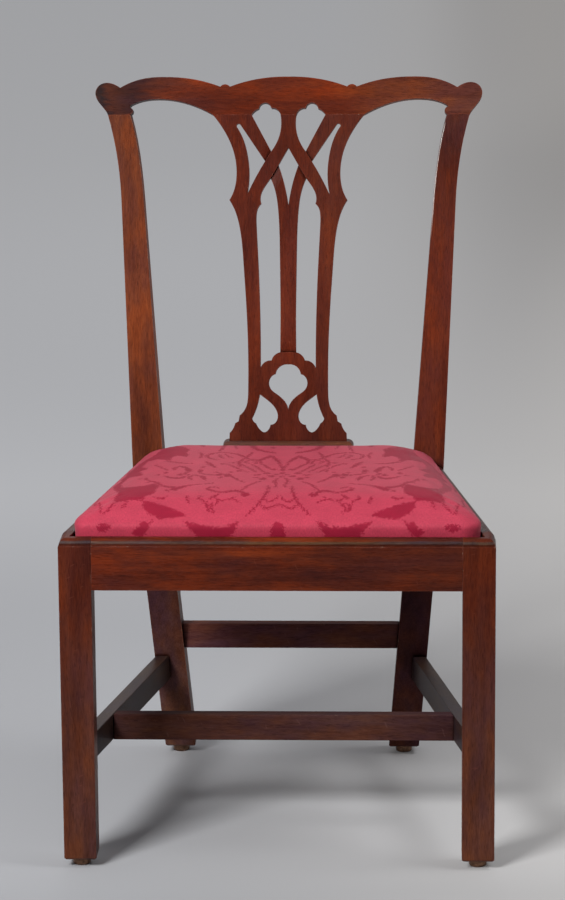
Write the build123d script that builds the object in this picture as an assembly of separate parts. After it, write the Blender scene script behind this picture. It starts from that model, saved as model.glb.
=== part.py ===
from build123d import *
import os
from math import atan2, cos, radians, sin, sqrt

# Side chair with square legs, a pierced splat and an upholstered seat that lifts out.
# Millimetres. +X is to the right seen from the front, +Y to the back, +Z up.
# The model is drawn with y = 0 on the front face of the front legs, and is moved at the
# end so that the origin is on the floor under the middle of the chair's overall box.

# Overall sizes
overall_height = 950.0      # floor to the top of the crest rail
seat_height = 435.0         # floor to the top of the seat rails
seat_depth = 405.0          # front of the front legs to the front of the back posts
front_width = 550.0         # over the front legs
rear_width = 423.0          # over the back posts at the top of the seat rails
rear_foot_width = 354.0     # over the back posts at the floor
neck_width = 454.5          # over the back posts where they start to flare
top_width = 492.0           # over the back posts just under the crest rail
rear_foot_kick = 80.0       # how far the rear feet stand behind the posts at the rails
back_rake = 13.0            # degrees that the back leans from upright

# Legs and back posts
leg_side = 41.5
post_width = 42.0
post_depth = 40.0
post_foot_depth = 38.0
post_neck_width = 30.4
post_top_width = 30.4
post_top_depth = 22.0
post_knee_radius = 250.0
flare_length = 118.0
flare_slope = 0.29

# Seat rails
rail_depth = 67.0
rail_thickness = 28.0
rear_rail_thickness = 40.0
rear_ledge = 10.0           # how far the rear rail stands in front of the back posts
front_lip = 14.0            # rim left around the drop-in seat
side_lip = 18.0
ledge_drop = 12.0           # depth of the rabbet that holds the drop-in seat
bead_height = 10.0
bead_step = 1.0

# Stretchers
stretcher_height = 35.0
stretcher_thickness = 18.0
side_stretcher_z = 117.0
rear_stretcher_z = 162.0
cross_stretcher_y = 175.0
stretcher_front_setback = 6.0
stretcher_rear_setback = 1.0

# Mortise and tenon joints
tenon_thickness = 10.0
rail_tenon_length = 20.0
tenon_shoulder = 7.0
tenon_wall = 9.0            # wood between the tenons that meet in a back post
tenon_gap = 4.0             # wood between the tenons that meet in a front leg
stretcher_tenon_thickness = 8.0
stretcher_tenon_length = 16.0
cross_tenon_length = 11.0
stretcher_shoulder = 5.0
joint_clearance = 0.1
tenon_root = 4.0            # how deep a tenon starts inside its own piece

# Crest rail, splat and shoe
crest_depth = 51.5          # top of the arches to the seam with the posts and splat
ear_reach = 17.4            # how far the ears stand past the back posts
bracket_step = 3.5          # small step where the arches meet the back posts
splat_thickness = 12.0
splat_top_half = 103.0
splat_base_share = 0.78     # of the splat's top width, at the shoe
lobe_outer_share = 0.489    # the upper openings run on into the crest rail between these
lobe_inner_share = 0.105
splat_tongue_thickness = 6.0
splat_tongue_length = 12.0
tongue_inset = 6.0          # from the edges of the wood to the ends of a tongue
post_tenon_width = 16.0
post_tenon_length = 20.0
relief_depth = 2.8          # how far the lower straps sink where straps cross
relief_length = 15.0
relief_margin = 4.0         # sunk past both sides of the strap
shoe_height = 32.3
shoe_gap = 1.0              # from the front of the back posts to the shoe
shoe_top_depth = 16.0
shoe_margin = 1.5           # shoe past each end of the splat, at its top
shoe_side_spread = 5.2      # how much wider the shoe gets under its rounded edge
shoe_end_spread = 7.0
shoe_round = 10.0

# Corner blocks, their screws and the glides
block_leg = 78.0
block_height = 38.0
block_drop = 2.5            # top of the blocks below the ledge
screw_radius = 2.0
screw_head_radius = 4.0
screw_head_height = 2.6
screw_slot = 0.8
screw_grip = 12.0           # block wood between the screw head and the rail
screw_bite = 14.0
screw_clearance = 0.1
driver_clearance = 0.6
foot_chamfer = 2.5
glide_height = 10.5
glide_radius = 11.5
glide_edge = 2.5
glide_nail_radius = 1.6
glide_nail_length = 16.0

# Drop-in seat
seat_clearance = 1.3        # from the covered seat to the rim around it
seat_rest_gap = 0.2         # from the cover to the ledge below it
cover_thickness = 1.2
soft_gap = 0.3              # between soft layers and what they lie against
cover_turn_under = 30.0
seat_corner = 24.0
slip_thickness = 20.0
slip_member = 56.0
slip_tenon_length = 28.0
webbing_width = 50.0
webbing_thickness = 1.2
webbing_margin = 14.0
webbing_strips = 3
sackcloth_thickness = 0.8
sackcloth_margin = 8.0
crown_start = 12.0          # above the rails, where the rolled edge is widest
crown_rise = 32.0           # from there to the middle of the seat
crown_bulge = 0.5
crown_share = 0.8           # part of the seat's half depth that slopes, the rest is level
crown_corner_share = 0.8    # corner radius of the level part over its half depth
crown_steps = 9
tack_radius = 0.9
tack_head_radius = 3.2
tack_head_height = 0.7
tack_length = 9.0
tack_pitch = 34.0
tack_clearance = 0.05

# Worked out from the sizes above
rake = radians(back_rake)
crest_top = (overall_height - seat_height) / cos(rake)
seam = crest_top - crest_depth
rail_bottom = seat_height - rail_depth
ledge = seat_height - ledge_drop
overall_depth = seat_depth + max(
    crest_top * sin(rake) + post_top_depth * cos(rake),
    rear_foot_kick + post_foot_depth,
)
side_slope = (front_width - rear_width) / 2 / (seat_depth - leg_side)
side_angle = atan2(side_slope, 1)
tenon_bottom = rail_bottom + tenon_shoulder
tenon_height = ledge - tenon_shoulder - tenon_bottom
tenon_z = tenon_bottom + tenon_height / 2
shoe_top = seat_height + shoe_height
splat_foot = shoe_height / cos(rake)
splat_base_half = splat_base_share * splat_top_half
lobe_outer = lobe_outer_share * splat_top_half
lobe_inner = lobe_inner_share * splat_top_half
splat_length = seam - splat_foot
slip_bottom = ledge + seat_rest_gap + cover_thickness
slip_top = slip_bottom + slip_thickness
crown_z = seat_height + crown_start
half_seat = min(seat_depth, rear_width) / 2 - side_lip
crown_reach = crown_share * half_seat
crown_corner = crown_corner_share * (half_seat - crown_reach)
cover_tack_inset = cover_turn_under - 2 * tack_head_radius
bead_radius = bead_height - bead_step

# The plane of the back's front face: x across, y up along the back, z to the front
back_plane = Plane(
    origin=(0, seat_depth, seat_height), x_dir=(1, 0, 0), z_dir=(0, -cos(rake), sin(rake))
)


def outline(start, *steps):
    """Closed face: a step of one point is a line, of two an arc, of more a smooth curve."""
    edges = []
    here = start
    for step in steps:
        draw = {1: Line, 2: ThreePointArc}.get(len(step), Spline)
        edges.append(draw(here, *step))
        here = step[-1]
    if (Vector(*here) - Vector(*start)).length > 0.001:
        edges.append(Line(here, start))
    return make_face(edges)


def both_sides(shape):
    """A shape drawn on the right, joined to its mirror image on the left."""
    return shape + mirror(shape, about=Plane.YZ)


def peg(plane, width, height, length, clearance=0.0):
    """Tenon along the plane's z, or with a clearance the mortise for it."""
    grown = Box(
        width + 2 * clearance,
        height + 2 * clearance,
        length + tenon_root + clearance,
        align=(Align.CENTER, Align.CENTER, Align.MIN),
    )
    return plane * Pos(0, 0, -tenon_root) * grown


def rod(plane, radius, start, end):
    """Round bar along the plane's z between two heights."""
    bar = Cylinder(radius, end - start, align=(Align.CENTER, Align.CENTER, Align.MIN))
    return plane * Pos(0, 0, start) * bar


def prism(points, low, high):
    """Upright solid on a plan given by its corners."""
    return extrude(Pos(0, 0, low) * make_face(Polyline(*points, close=True)), high - low)


# Plan of the seat, on the right-hand side, with y from the front of the chair
def rail_outer(y):
    return front_width / 2 - side_slope * (y - leg_side)


def rail_line(y, inset):
    """Where a line parallel to the side rail's outer face, set in by inset, crosses y."""
    return rail_outer(y) - inset / cos(side_angle)


def post_outer(z):
    return (rear_foot_width + (rear_width - rear_foot_width) * z / seat_height) / 2


def post_inner(z):
    return post_outer(z) - post_width


def post_front(z):
    """Front face of a rear leg, below the seat rails."""
    return seat_depth + rear_foot_kick * (rail_bottom - z) / (rail_bottom - glide_height)


def seat_corners(inset):
    """Corners of the drop-in seat's opening, set in by inset."""
    front = front_lip + inset
    rear = seat_depth - inset
    right = [(rail_line(y, side_lip + inset), y) for y in (front, rear)]
    left = [(-x, y) for x, y in reversed(right)]
    return right + left


def seat_section(inset, z, corner):
    """The drop-in seat's rounded outline at a height."""
    face = make_face(Polyline(*seat_corners(inset), close=True))
    return Pos(0, 0, z) * fillet(face.vertices(), corner)


# Joint places, on the right-hand side
front_rail_joint = Plane(
    origin=(front_width / 2 - leg_side, rail_thickness / 2, tenon_z), x_dir=(0, 1, 0), z_dir=(1, 0, 0)
)
rail_forward = (sin(side_angle), -cos(side_angle), 0)
rail_backward = (-sin(side_angle), cos(side_angle), 0)
side_rail_front_joint = Plane(
    origin=(rail_line(leg_side, rail_thickness / 2), leg_side, tenon_z),
    x_dir=(cos(side_angle), sin(side_angle), 0),
    z_dir=rail_forward,
)
side_rail_rear_joint = Plane(
    origin=(rail_line(seat_depth, rail_thickness / 2), seat_depth, tenon_z),
    x_dir=(cos(side_angle), sin(side_angle), 0),
    z_dir=rail_backward,
)
side_rail_tenon_length = leg_side - (rail_thickness + tenon_thickness) / 2 - tenon_gap
rear_rail_tenon_length = post_width - (rail_thickness + tenon_thickness) / 2 - tenon_wall
rear_rail_joint = Plane(
    origin=(post_inner(tenon_z), seat_depth + (rear_rail_thickness - rear_ledge) / 2, tenon_z),
    x_dir=(0, 1, 0),
    z_dir=(1, 0, 0),
)
side_stretcher_mid = side_stretcher_z + stretcher_height / 2
rear_stretcher_mid = rear_stretcher_z + stretcher_height / 2
stretcher_front = (front_width / 2 - stretcher_front_setback - stretcher_thickness / 2, leg_side)
stretcher_rear = (
    post_outer(side_stretcher_mid) - stretcher_rear_setback - stretcher_thickness / 2,
    post_front(side_stretcher_mid),
)
stretcher_slope = (stretcher_front[0] - stretcher_rear[0]) / (stretcher_rear[1] - stretcher_front[1])
stretcher_angle = atan2(stretcher_slope, 1)
side_stretcher_front_joint = Plane(
    origin=(*stretcher_front, side_stretcher_mid),
    x_dir=(cos(stretcher_angle), sin(stretcher_angle), 0),
    z_dir=(sin(stretcher_angle), -cos(stretcher_angle), 0),
)
side_stretcher_rear_joint = Plane(
    origin=(*stretcher_rear, side_stretcher_mid),
    x_dir=(cos(stretcher_angle), sin(stretcher_angle), 0),
    z_dir=(-sin(stretcher_angle), cos(stretcher_angle), 0),
)
rear_stretcher_y = post_front(rear_stretcher_mid) + (post_depth + post_foot_depth) / 4
rear_stretcher_joint = Plane(
    origin=(post_inner(rear_stretcher_mid), rear_stretcher_y, rear_stretcher_mid),
    x_dir=(0, 1, 0),
    z_dir=(1, 0, 0),
)
cross_mid = cross_stretcher_y + stretcher_thickness / 2


def stretcher_line(y, inset):
    """Where a line along the side stretcher, inset from its centre, crosses y."""
    return stretcher_front[0] - stretcher_slope * (y - leg_side) - inset / cos(stretcher_angle)


cross_joint = Plane(
    origin=(stretcher_line(cross_mid, stretcher_thickness / 2), cross_mid, side_stretcher_mid),
    x_dir=(0, 1, 0),
    z_dir=(1, 0, 0),
)
stretcher_tenon_height = stretcher_height - 2 * stretcher_shoulder
post_top_joint = Plane(
    origin=back_plane.from_local_coords(
        ((top_width - post_top_width) / 2, seam, -post_top_depth / 2)
    ),
    x_dir=(1, 0, 0),
    z_dir=back_plane.y_dir,
)


def rail_peg(plane, length, clearance=0.0):
    return peg(plane, tenon_thickness, tenon_height, length, clearance)


def stretcher_peg(plane, length, clearance=0.0):
    return peg(plane, stretcher_tenon_thickness, stretcher_tenon_height, length, clearance)


def post_top_peg(clearance=0.0):
    return peg(post_top_joint, post_tenon_width, tenon_thickness, post_tenon_length, clearance)


def seat_rim():
    """Everything inside the seat rails' outer faces, with the bead along the upper edge."""
    right = [(front_width / 2, 0), (front_width / 2, leg_side), (rear_width / 2, seat_depth)]
    plan = right + [(-x, y) for x, y in reversed(right)]
    body = prism(plan, 0, seat_height - bead_height)
    inner_face = offset(make_face(Polyline(*plan, close=True)), -bead_step, kind=Kind.INTERSECTION)
    reach = Pos(0, bead_step, 0) * inner_face + inner_face
    bead = extrude(Pos(0, 0, seat_height - bead_height) * reach, bead_height)
    rim = bead.faces().sort_by(Axis.Z)[-1].edges().sort_by(Axis.Y)[:-1]
    return body + fillet(rim, bead_radius)


def seat_well():
    """Space that the drop-in seat drops into."""
    return prism(seat_corners(0), ledge, overall_height)


# Corner blocks
def block_corner(rear):
    """Plan corner of a block, and the two ends of its long face."""
    if rear:
        y = seat_depth - rear_ledge
        step = -block_leg
    else:
        y = rail_thickness
        step = block_leg
    corner = (rail_line(y, rail_thickness), y)
    along_rail = (corner[0] - block_leg, y)
    along_side = (rail_line(y + step, rail_thickness), y + step)
    return corner, along_rail, along_side


def screw_planes(rear):
    """Where a block's two screws enter the rails, with z into the rail."""
    corner, along_rail, along_side = block_corner(rear)
    z = ledge - block_drop - block_height / 2
    to_rail = Plane(
        origin=((corner[0] + 2 * along_rail[0]) / 3, corner[1], z + block_height / 5),
        x_dir=(1, 0, 0),
        z_dir=(0, 1 if rear else -1, 0),
    )
    y = (corner[1] + 2 * along_side[1]) / 3
    to_side = Plane(
        origin=(rail_line(y, rail_thickness), y, z - block_height / 5),
        x_dir=(0, 0, 1),
        z_dir=(cos(side_angle), sin(side_angle), 0),
    )
    return [to_rail, to_side]


def screw(plane):
    """Slotted screw, its shank along the plane's z into the rail."""
    head = rod(plane, screw_head_radius, -screw_grip - screw_head_height, -screw_grip)
    shank = rod(plane, screw_radius, -screw_grip, screw_bite)
    slot = plane * Pos(0, 0, -screw_grip - screw_head_height)
    cut = Box(2 * screw_head_radius, screw_slot, screw_head_height)
    return head + shank - slot * cut


def screw_hole(plane):
    """Hole in the rail."""
    return rod(plane, screw_radius + screw_clearance, -screw_grip, screw_bite + screw_clearance)


def driver_hole(plane):
    """Hole in the block, wide enough for the head on the driver's side."""
    wide = rod(plane, screw_head_radius + driver_clearance, -block_leg, -screw_grip)
    return wide + screw_hole(plane)


def corner_block(rear):
    corner, along_rail, along_side = block_corner(rear)
    top = ledge - block_drop
    block = prism([corner, along_rail, along_side], top - block_height, top)
    if not rear:
        block -= prism(front_leg_corners(), rail_bottom, seat_height)
    return block - [driver_hole(plane) for plane in screw_planes(rear)]


# Front legs, seat rails and stretchers
def front_leg_corners():
    outer = front_width / 2
    inner = outer - leg_side
    return [(inner, 0), (outer, 0), (outer, leg_side), (inner, leg_side)]


def ease_foot(leg):
    """Takes the sharp edge off around the underside of a foot."""
    return chamfer(leg.edges().filter_by(GeomType.LINE).group_by(Axis.Z)[0], foot_chamfer)


def front_leg():
    leg = (ease_foot(prism(front_leg_corners(), glide_height, seat_height)) & seat_rim()) - seat_well()
    return leg - [
        rail_peg(front_rail_joint, rail_tenon_length, joint_clearance),
        rail_peg(side_rail_front_joint, side_rail_tenon_length, joint_clearance),
        stretcher_peg(side_stretcher_front_joint, stretcher_tenon_length, joint_clearance),
        glide_nail(front_foot, joint_clearance),
    ]


def front_rail():
    half = front_width / 2 - leg_side
    corners = [(-half, 0), (half, 0), (half, rail_thickness), (-half, rail_thickness)]
    rail = (prism(corners, rail_bottom, seat_height) & seat_rim()) - seat_well()
    rail += both_sides(rail_peg(front_rail_joint, rail_tenon_length))
    return rail - both_sides(screw_hole(screw_planes(False)[0]))


def side_rail():
    ends = [leg_side, seat_depth]
    outer = [(rail_outer(y), y) for y in ends]
    inner = [(rail_line(y, rail_thickness), y) for y in reversed(ends)]
    rail = (prism(outer + inner, rail_bottom, seat_height) & seat_rim()) - seat_well()
    rail += rail_peg(side_rail_front_joint, side_rail_tenon_length)
    rail += rail_peg(side_rail_rear_joint, rail_tenon_length)
    return rail - [screw_hole(screw_planes(rear)[1]) for rear in (False, True)]


def rear_rail():
    front = seat_depth - rear_ledge
    corners = [(post_inner(rail_bottom), rail_bottom), (post_inner(seat_height), seat_height)]
    corners += [(-x, z) for x, z in reversed(corners)]
    face = make_face(Polyline(*corners, close=True))
    rail = extrude(Plane.XZ.offset(-front) * face, -rear_rail_thickness) - seat_well()
    rail += both_sides(rail_peg(rear_rail_joint, rear_rail_tenon_length))
    return rail - both_sides(screw_hole(screw_planes(True)[0]))


def side_stretcher():
    top = side_stretcher_z + stretcher_height
    far = post_front(side_stretcher_z) + stretcher_thickness
    half = stretcher_thickness / 2
    plan = [(stretcher_line(leg_side, -half), leg_side), (stretcher_line(far, -half), far)]
    plan += [(stretcher_line(far, half), far), (stretcher_line(leg_side, half), leg_side)]
    bar = prism(plan, side_stretcher_z, top)
    behind = [
        (post_front(0), 0),
        (post_front(rail_bottom), rail_bottom),
        (overall_depth, rail_bottom),
        (overall_depth, 0),
    ]
    bar -= extrude(Plane.YZ * make_face(Polyline(*behind, close=True)), front_width)
    bar += stretcher_peg(side_stretcher_front_joint, stretcher_tenon_length)
    bar += stretcher_peg(side_stretcher_rear_joint, stretcher_tenon_length)
    return bar - stretcher_peg(cross_joint, cross_tenon_length, joint_clearance)


def cross_stretcher():
    ends = [cross_stretcher_y, cross_stretcher_y + stretcher_thickness]
    right = [(stretcher_line(y, stretcher_thickness / 2), y) for y in ends]
    plan = right + [(-x, y) for x, y in reversed(right)]
    bar = prism(plan, side_stretcher_z, side_stretcher_z + stretcher_height)
    return bar + both_sides(stretcher_peg(cross_joint, cross_tenon_length))


def rear_stretcher():
    heights = [rear_stretcher_z, rear_stretcher_z + stretcher_height]
    right = [(post_inner(z), z) for z in heights]
    corners = right + [(-x, z) for x, z in reversed(right)]
    face = make_face(Polyline(*corners, close=True))
    front = rear_stretcher_y - stretcher_thickness / 2
    bar = extrude(Plane.XZ.offset(-front) * face, -stretcher_thickness)
    return bar + both_sides(stretcher_peg(rear_stretcher_joint, stretcher_tenon_length))


# Back posts
def post_side_face():
    """Side view of a back post: kicked back below the rails and raked above them."""
    top_front = back_plane.from_local_coords((0, seam, 0))
    top_back = back_plane.from_local_coords((0, seam, -post_top_depth))
    knee = (seat_depth + post_depth, seat_height - rail_depth / 2)
    corners = [
        (post_front(glide_height), glide_height),
        (seat_depth, rail_bottom),
        (seat_depth, seat_height),
        (top_front.Y, top_front.Z),
        (top_back.Y, top_back.Z),
        knee,
        (post_front(glide_height) + post_foot_depth, glide_height),
    ]
    face = make_face(Polyline(*corners, close=True))
    bend = [v for v in face.vertices() if abs(v.X - knee[0]) + abs(v.Y - knee[1]) < 0.01]
    return fillet(bend, post_knee_radius)


def post_front_face():
    """Front view of the right-hand back post, drawn past its top."""
    neck = seam - flare_length
    neck_z = seat_height + neck * cos(rake)
    top_z = seat_height + seam * cos(rake)
    outer_seat = (rear_width / 2, seat_height)
    outer_neck = (neck_width / 2, neck_z)
    outer_top = (top_width / 2, top_z)
    inner_seat = (rear_width / 2 - post_width, seat_height)
    inner_neck = (outer_neck[0] - post_neck_width, neck_z)
    inner_top = (outer_top[0] - post_top_width, top_z)
    along = {
        "outer": (outer_neck[0] - outer_seat[0], outer_neck[1] - outer_seat[1]),
        "inner": (inner_neck[0] - inner_seat[0], inner_neck[1] - inner_seat[1]),
    }
    flared = (flare_slope, cos(rake))
    edges = [
        Line((post_inner(glide_height), glide_height), (post_outer(glide_height), glide_height)),
        Line((post_outer(glide_height), glide_height), outer_seat),
        Line(outer_seat, outer_neck),
        Spline(outer_neck, outer_top, tangents=[along["outer"], flared]),
        Line(outer_top, inner_top),
        Spline(inner_neck, inner_top, tangents=[along["inner"], flared]),
        Line(inner_neck, inner_seat),
        Line(inner_seat, (post_inner(glide_height), glide_height)),
    ]
    return make_face(edges)


def back_post():
    side_view = extrude(Plane.YZ * post_side_face(), overall_height)
    front_view = extrude(Plane.XZ * post_front_face(), -2 * overall_depth)
    post = ease_foot(side_view & front_view) + post_top_peg()
    return post - [
        rail_peg(side_rail_rear_joint, rail_tenon_length, joint_clearance),
        rail_peg(rear_rail_joint, rear_rail_tenon_length, joint_clearance),
        stretcher_peg(side_stretcher_rear_joint, stretcher_tenon_length, joint_clearance),
        stretcher_peg(rear_stretcher_joint, stretcher_tenon_length, joint_clearance),
        glide_nail(rear_foot, joint_clearance),
    ]


# Glides
front_foot = ((front_width - leg_side) / 2, leg_side / 2)
rear_foot = (
    (post_outer(glide_height) + post_inner(glide_height)) / 2,
    post_front(glide_height) + post_foot_depth / 2,
)


def glide_nail(foot, clearance=0.0):
    plane = Plane(origin=(*foot, glide_height))
    return rod(plane, glide_nail_radius + clearance, 0, glide_nail_length + clearance)


def glide(foot):
    cap = rod(Plane(origin=(*foot, 0)), glide_radius, 0, glide_height)
    cap = fillet(cap.edges().sort_by(Axis.Z)[0], glide_edge)
    return cap + glide_nail(foot)


# Splat: points are shares of its half width at the top, and of its length up from the shoe
upper_crossing = [(0.227, 0.887), (0.308, 0.857)]       # edge of the strap on top, where straps cross
lower_crossing = [(0.235, 0.805), (0.131, 0.845)]
ring_crossing = (0.105, 0.272)


def placed(*points):
    return [(u * splat_top_half, v * splat_length) for u, v in points]


def splat_outline():
    half = outline(
        (0, splat_length),
        placed((1, 1)),
        placed((0.844, 0.949), (0.726, 0.888), (0.684, 0.821), (0.719, 0.767), (0.779, 0.738)),
        placed(
            (0.726, 0.717),
            (0.646, 0.659),
            (0.593, 0.553),
            (0.532, 0.308),
            (0.527, 0.155),
            (0.577, 0.094),
            (0.639, 0.079),
        ),
        placed((0.653, 0.061)),
        placed((0.701, 0.054)),
        placed((0.728, 0.037), (0.771, 0.025)),
        [(splat_base_half, -splat_thickness)],
        [(0, -splat_thickness)],
    )
    return both_sides(half)


def splat_openings():
    """All the openings of the splat."""
    teardrop = outline(
        (lobe_outer, splat_length),
        placed(upper_crossing[0]),
        placed((0.173, 0.906), (0.118, 0.936), (0.095, 0.976), (lobe_inner_share, 1)),
        [(lobe_inner, splat_length + crest_depth)],
        [(lobe_outer, splat_length + crest_depth)],
    )
    slim = outline(
        *placed((0.686, 0.964)),
        placed((0.674, 0.971), (0.641, 0.971)),
        placed(upper_crossing[1]),
        placed((0.421, 0.812), (0.542, 0.756)),
        placed((0.516, 0.812), (0.542, 0.879), (0.604, 0.929), (0.686, 0.964)),
    )
    slot = outline(
        *placed(lower_crossing[0]),
        placed((0.305, 0.782), (0.362, 0.755), (0.358, 0.727)),
        placed(
            (0.402, 0.713), (0.423, 0.686), (0.421, 0.659), (0.397, 0.553), (0.37, 0.382), (0.364, 0.223)
        ),
        placed((0.305, 0.242), (0.22, 0.247)),
        placed((0.18, 0.263), ring_crossing),
        placed((0.101, 0.382), (0.109, 0.553), (0.131, 0.7), (0.167, 0.76), lower_crossing[0]),
    )
    lower = outline(
        *placed((0.375, 0.143)),
        placed((0.276, 0.126), (0.17, 0.101), (0.136, 0.074), (0.165, 0.057), (0.233, 0.05)),
        placed((0.255, 0.036), (0.31, 0.027), (0.373, 0.035), (0.424, 0.054)),
        placed((0.457, 0.06), (0.476, 0.069)),
        placed((0.41, 0.106), (0.375, 0.143)),
    )
    lozenge = outline(
        *placed((0, 0.898)),
        placed(lower_crossing[1]),
        placed((0.064, 0.796), (0, 0.721)),
    )
    heart = outline(
        *placed((0, 0.235)),
        placed((0.12, 0.226), (0.167, 0.205)),
        placed((0.228, 0.196), (0.254, 0.179), (0.228, 0.159), (0.15, 0.144), (0.06, 0.126), (0, 0.092)),
    )
    paired = teardrop + slim + slot + lower
    return both_sides(paired) + both_sides(lozenge) + both_sides(heart)


def relief(edge, run):
    """Wedge that sinks a strap beside the edge of the strap over it, the way the sunk strap runs from there."""
    start, end = (Vector(*point) for point in edge)
    along = (end - start).normalized()
    away = (run - along * run.dot(along)).normalized()
    place = Plane(origin=(start + end) / 2, x_dir=away, z_dir=away.cross(Vector(0, 0, 1)))
    depth = [(0, relief_depth), (0, -relief_depth), (relief_length, 0), (relief_length, relief_depth)]
    wedge = extrude(place * make_face(Polyline(*depth, close=True)), 2 * relief_length, both=True)
    past = along * relief_margin
    far = run * (2 * relief_length)
    sides = [start - past, end + past, end + past + far, start - past + far]
    return wedge & extrude(make_face(Polyline(*sides, close=True)), relief_depth, both=True)


def tongue(low_u, high_u, low_v, high_v, clearance=0.0):
    """Tongue of the splat between two places across and two up, or its mortise."""
    size = (high_u - low_u + 2 * clearance, high_v - low_v + 2 * clearance)
    box = Box(*size, splat_tongue_thickness + 2 * clearance)
    return back_plane * Pos((low_u + high_u) / 2, (low_v + high_v) / 2, -splat_thickness / 2) * box


def crest_tongues(clearance=0.0):
    """Three tongues on top of the splat: one on each rib and one in the middle."""
    low = seam - tenon_root
    high = seam + splat_tongue_length
    rib = tongue(lobe_outer + tongue_inset, splat_top_half - 2 * tongue_inset, low, high, clearance)
    middle = tongue(-lobe_inner / 2, lobe_inner / 2, low, high, clearance)
    return both_sides(rib) + middle


def shoe_tongue(clearance=0.0):
    edge = splat_base_half - tongue_inset
    return tongue(-edge, edge, splat_foot - splat_tongue_length, splat_foot + tenon_root, clearance)


def splat():
    board = extrude(splat_outline() - splat_openings(), -splat_thickness)
    upper, lower = placed(*upper_crossing), placed(*lower_crossing)
    run = (Vector(*upper[0]) + Vector(*upper[1]) - Vector(*lower[0]) - Vector(*lower[1])).normalized()
    u, v = ring_crossing
    board -= both_sides(relief(upper, run)) + both_sides(relief(lower, -run))
    board -= relief(placed((u, v), (-u, v)), Vector(0, 1))
    board = back_plane * Pos(0, splat_foot, 0) * board
    board -= Pos(0, 0, shoe_top) * Box(
        front_width, 3 * overall_depth, overall_height, align=(Align.CENTER, Align.CENTER, Align.MAX)
    )
    return board + crest_tongues() + shoe_tongue()


# Crest rail: points are (across, share of the rail's depth up from the seam)
def raised(*points):
    return [(x, share * crest_depth) for x, share in points]


def crest_outline():
    post_out = top_width / 2
    post_in = post_out - post_top_width

    def middle(share):
        return share * splat_top_half

    def arch(share):
        return splat_top_half + share * (post_out - splat_top_half)

    def ear(share):
        return post_out + share * ear_reach

    def bracket(share):
        return post_in + share * bracket_step

    half = outline(
        (0, crest_depth),
        raised((middle(0.29), 0.973), (middle(0.523), 0.892), (middle(0.774), 0.738)),
        raised((middle(0.837), 0.8), (middle(0.9), 0.738)),
        raised(
            (arch(0.05), 0.85),
            (arch(0.2), 0.943),
            (arch(0.46), 0.997),
            (arch(0.62), 0.973),
            (arch(0.77), 0.866),
            (arch(0.882), 0.713),
        ),
        raised(
            (ear(-0.53), 0.8),
            (ear(0.04), 0.846),
            (ear(0.65), 0.785),
            (ear(0.975), 0.6),
            (ear(0.88), 0.426),
            (ear(0.5), 0.24),
            (post_out, 0),
        ),
        [(post_in, 0)],
        raised((bracket(-1), 0.08), (bracket(0.43), 0.2)),
        raised((bracket(-0.43), 0.26)),
        raised(
            (arch(0.66), 0.376),
            (arch(0.54), 0.413),
            (arch(0.4), 0.394),
            (arch(0.2), 0.258),
            (splat_top_half, 0),
        ),
        [(lobe_outer, 0)],
        raised((middle(0.451), 0.088), (middle(0.391), 0.158)),
        raised((middle(0.31), 0.312), (middle(0.228), 0.173)),
        raised((middle(0.151), 0.135), (lobe_inner, 0)),
        [(0, 0)],
    )
    return both_sides(half)


def crest_rail():
    rail = back_plane * Pos(0, seam, 0) * extrude(crest_outline(), -post_top_depth)
    rail -= both_sides(post_top_peg(joint_clearance))
    return rail - crest_tongues(joint_clearance)


# Shoe: rounded along the front, the back and both ends
def shoe_profile(half, spread):
    """Profile that is widest under its rounded upper edges."""
    bulge = sqrt(0.5)
    right = outline(
        (0, seat_height),
        [(half + spread, seat_height)],
        [(half + spread, shoe_top - shoe_round)],
        [(half + bulge * spread, shoe_top - (1 - bulge) * shoe_round), (half, shoe_top)],
        [(0, shoe_top)],
    )
    return both_sides(right)


def shoe():
    half_length = splat_base_half + shoe_margin
    half_depth = shoe_top_depth / 2
    ends = shoe_profile(half_length, shoe_end_spread)
    sides = shoe_profile(half_depth, shoe_side_spread)
    middle = seat_depth + shoe_gap + half_depth + shoe_side_spread
    lengthwise = extrude(Plane.XZ.offset(-middle) * ends, shoe_top_depth + shoe_side_spread, both=True)
    crosswise = extrude(Plane.YZ * Pos(middle, 0, 0) * sides, half_length + shoe_end_spread, both=True)
    return (lengthwise & crosswise) - shoe_tongue(joint_clearance)


# Drop-in seat
def crown_sections(inner):
    """Sections of the covered seat's rolled edge and crown, all set in by inner."""
    base = seat_clearance + inner
    sections = [seat_section(base, seat_height, seat_corner)]
    for step in range(crown_steps + 1):
        turn = radians(90.0 * step / crown_steps)
        share = 1 - sqrt(max(cos(turn), 0))
        inset = base - crown_bulge + (crown_reach + crown_bulge) * share
        z = crown_z + (crown_rise - inner) * sin(turn)
        corner = seat_corner + share * (crown_corner - seat_corner)
        sections.append(seat_section(inset, z, corner))
    return sections


def padded_seat(inner, bottom):
    """Crowned solid of the covered seat, set in by inner, down to a level."""
    skirt = extrude(seat_section(seat_clearance + inner, bottom, seat_corner), seat_height - bottom)
    return skirt + loft(crown_sections(inner), ruled=True)


def cover_tack_places():
    """Where the cover is tacked under the seat's frame, as plan points."""
    corners = [Vector(x, y) for x, y in seat_corners(seat_clearance + cover_tack_inset)]
    places = []
    for here, there in zip(corners, corners[1:] + corners[:1]):
        count = max(2, round((there - here).length / tack_pitch))
        places += [here + (there - here) * ((i + 0.5) / count) for i in range(count)]
    return places


def cover_tack_holes(clearance=tack_clearance):
    head = ledge + seat_rest_gap
    return [
        rod(Plane(origin=(p.X, p.Y, head)), tack_radius + clearance, 0, tack_length + clearance)
        for p in cover_tack_places()
    ]


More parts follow.
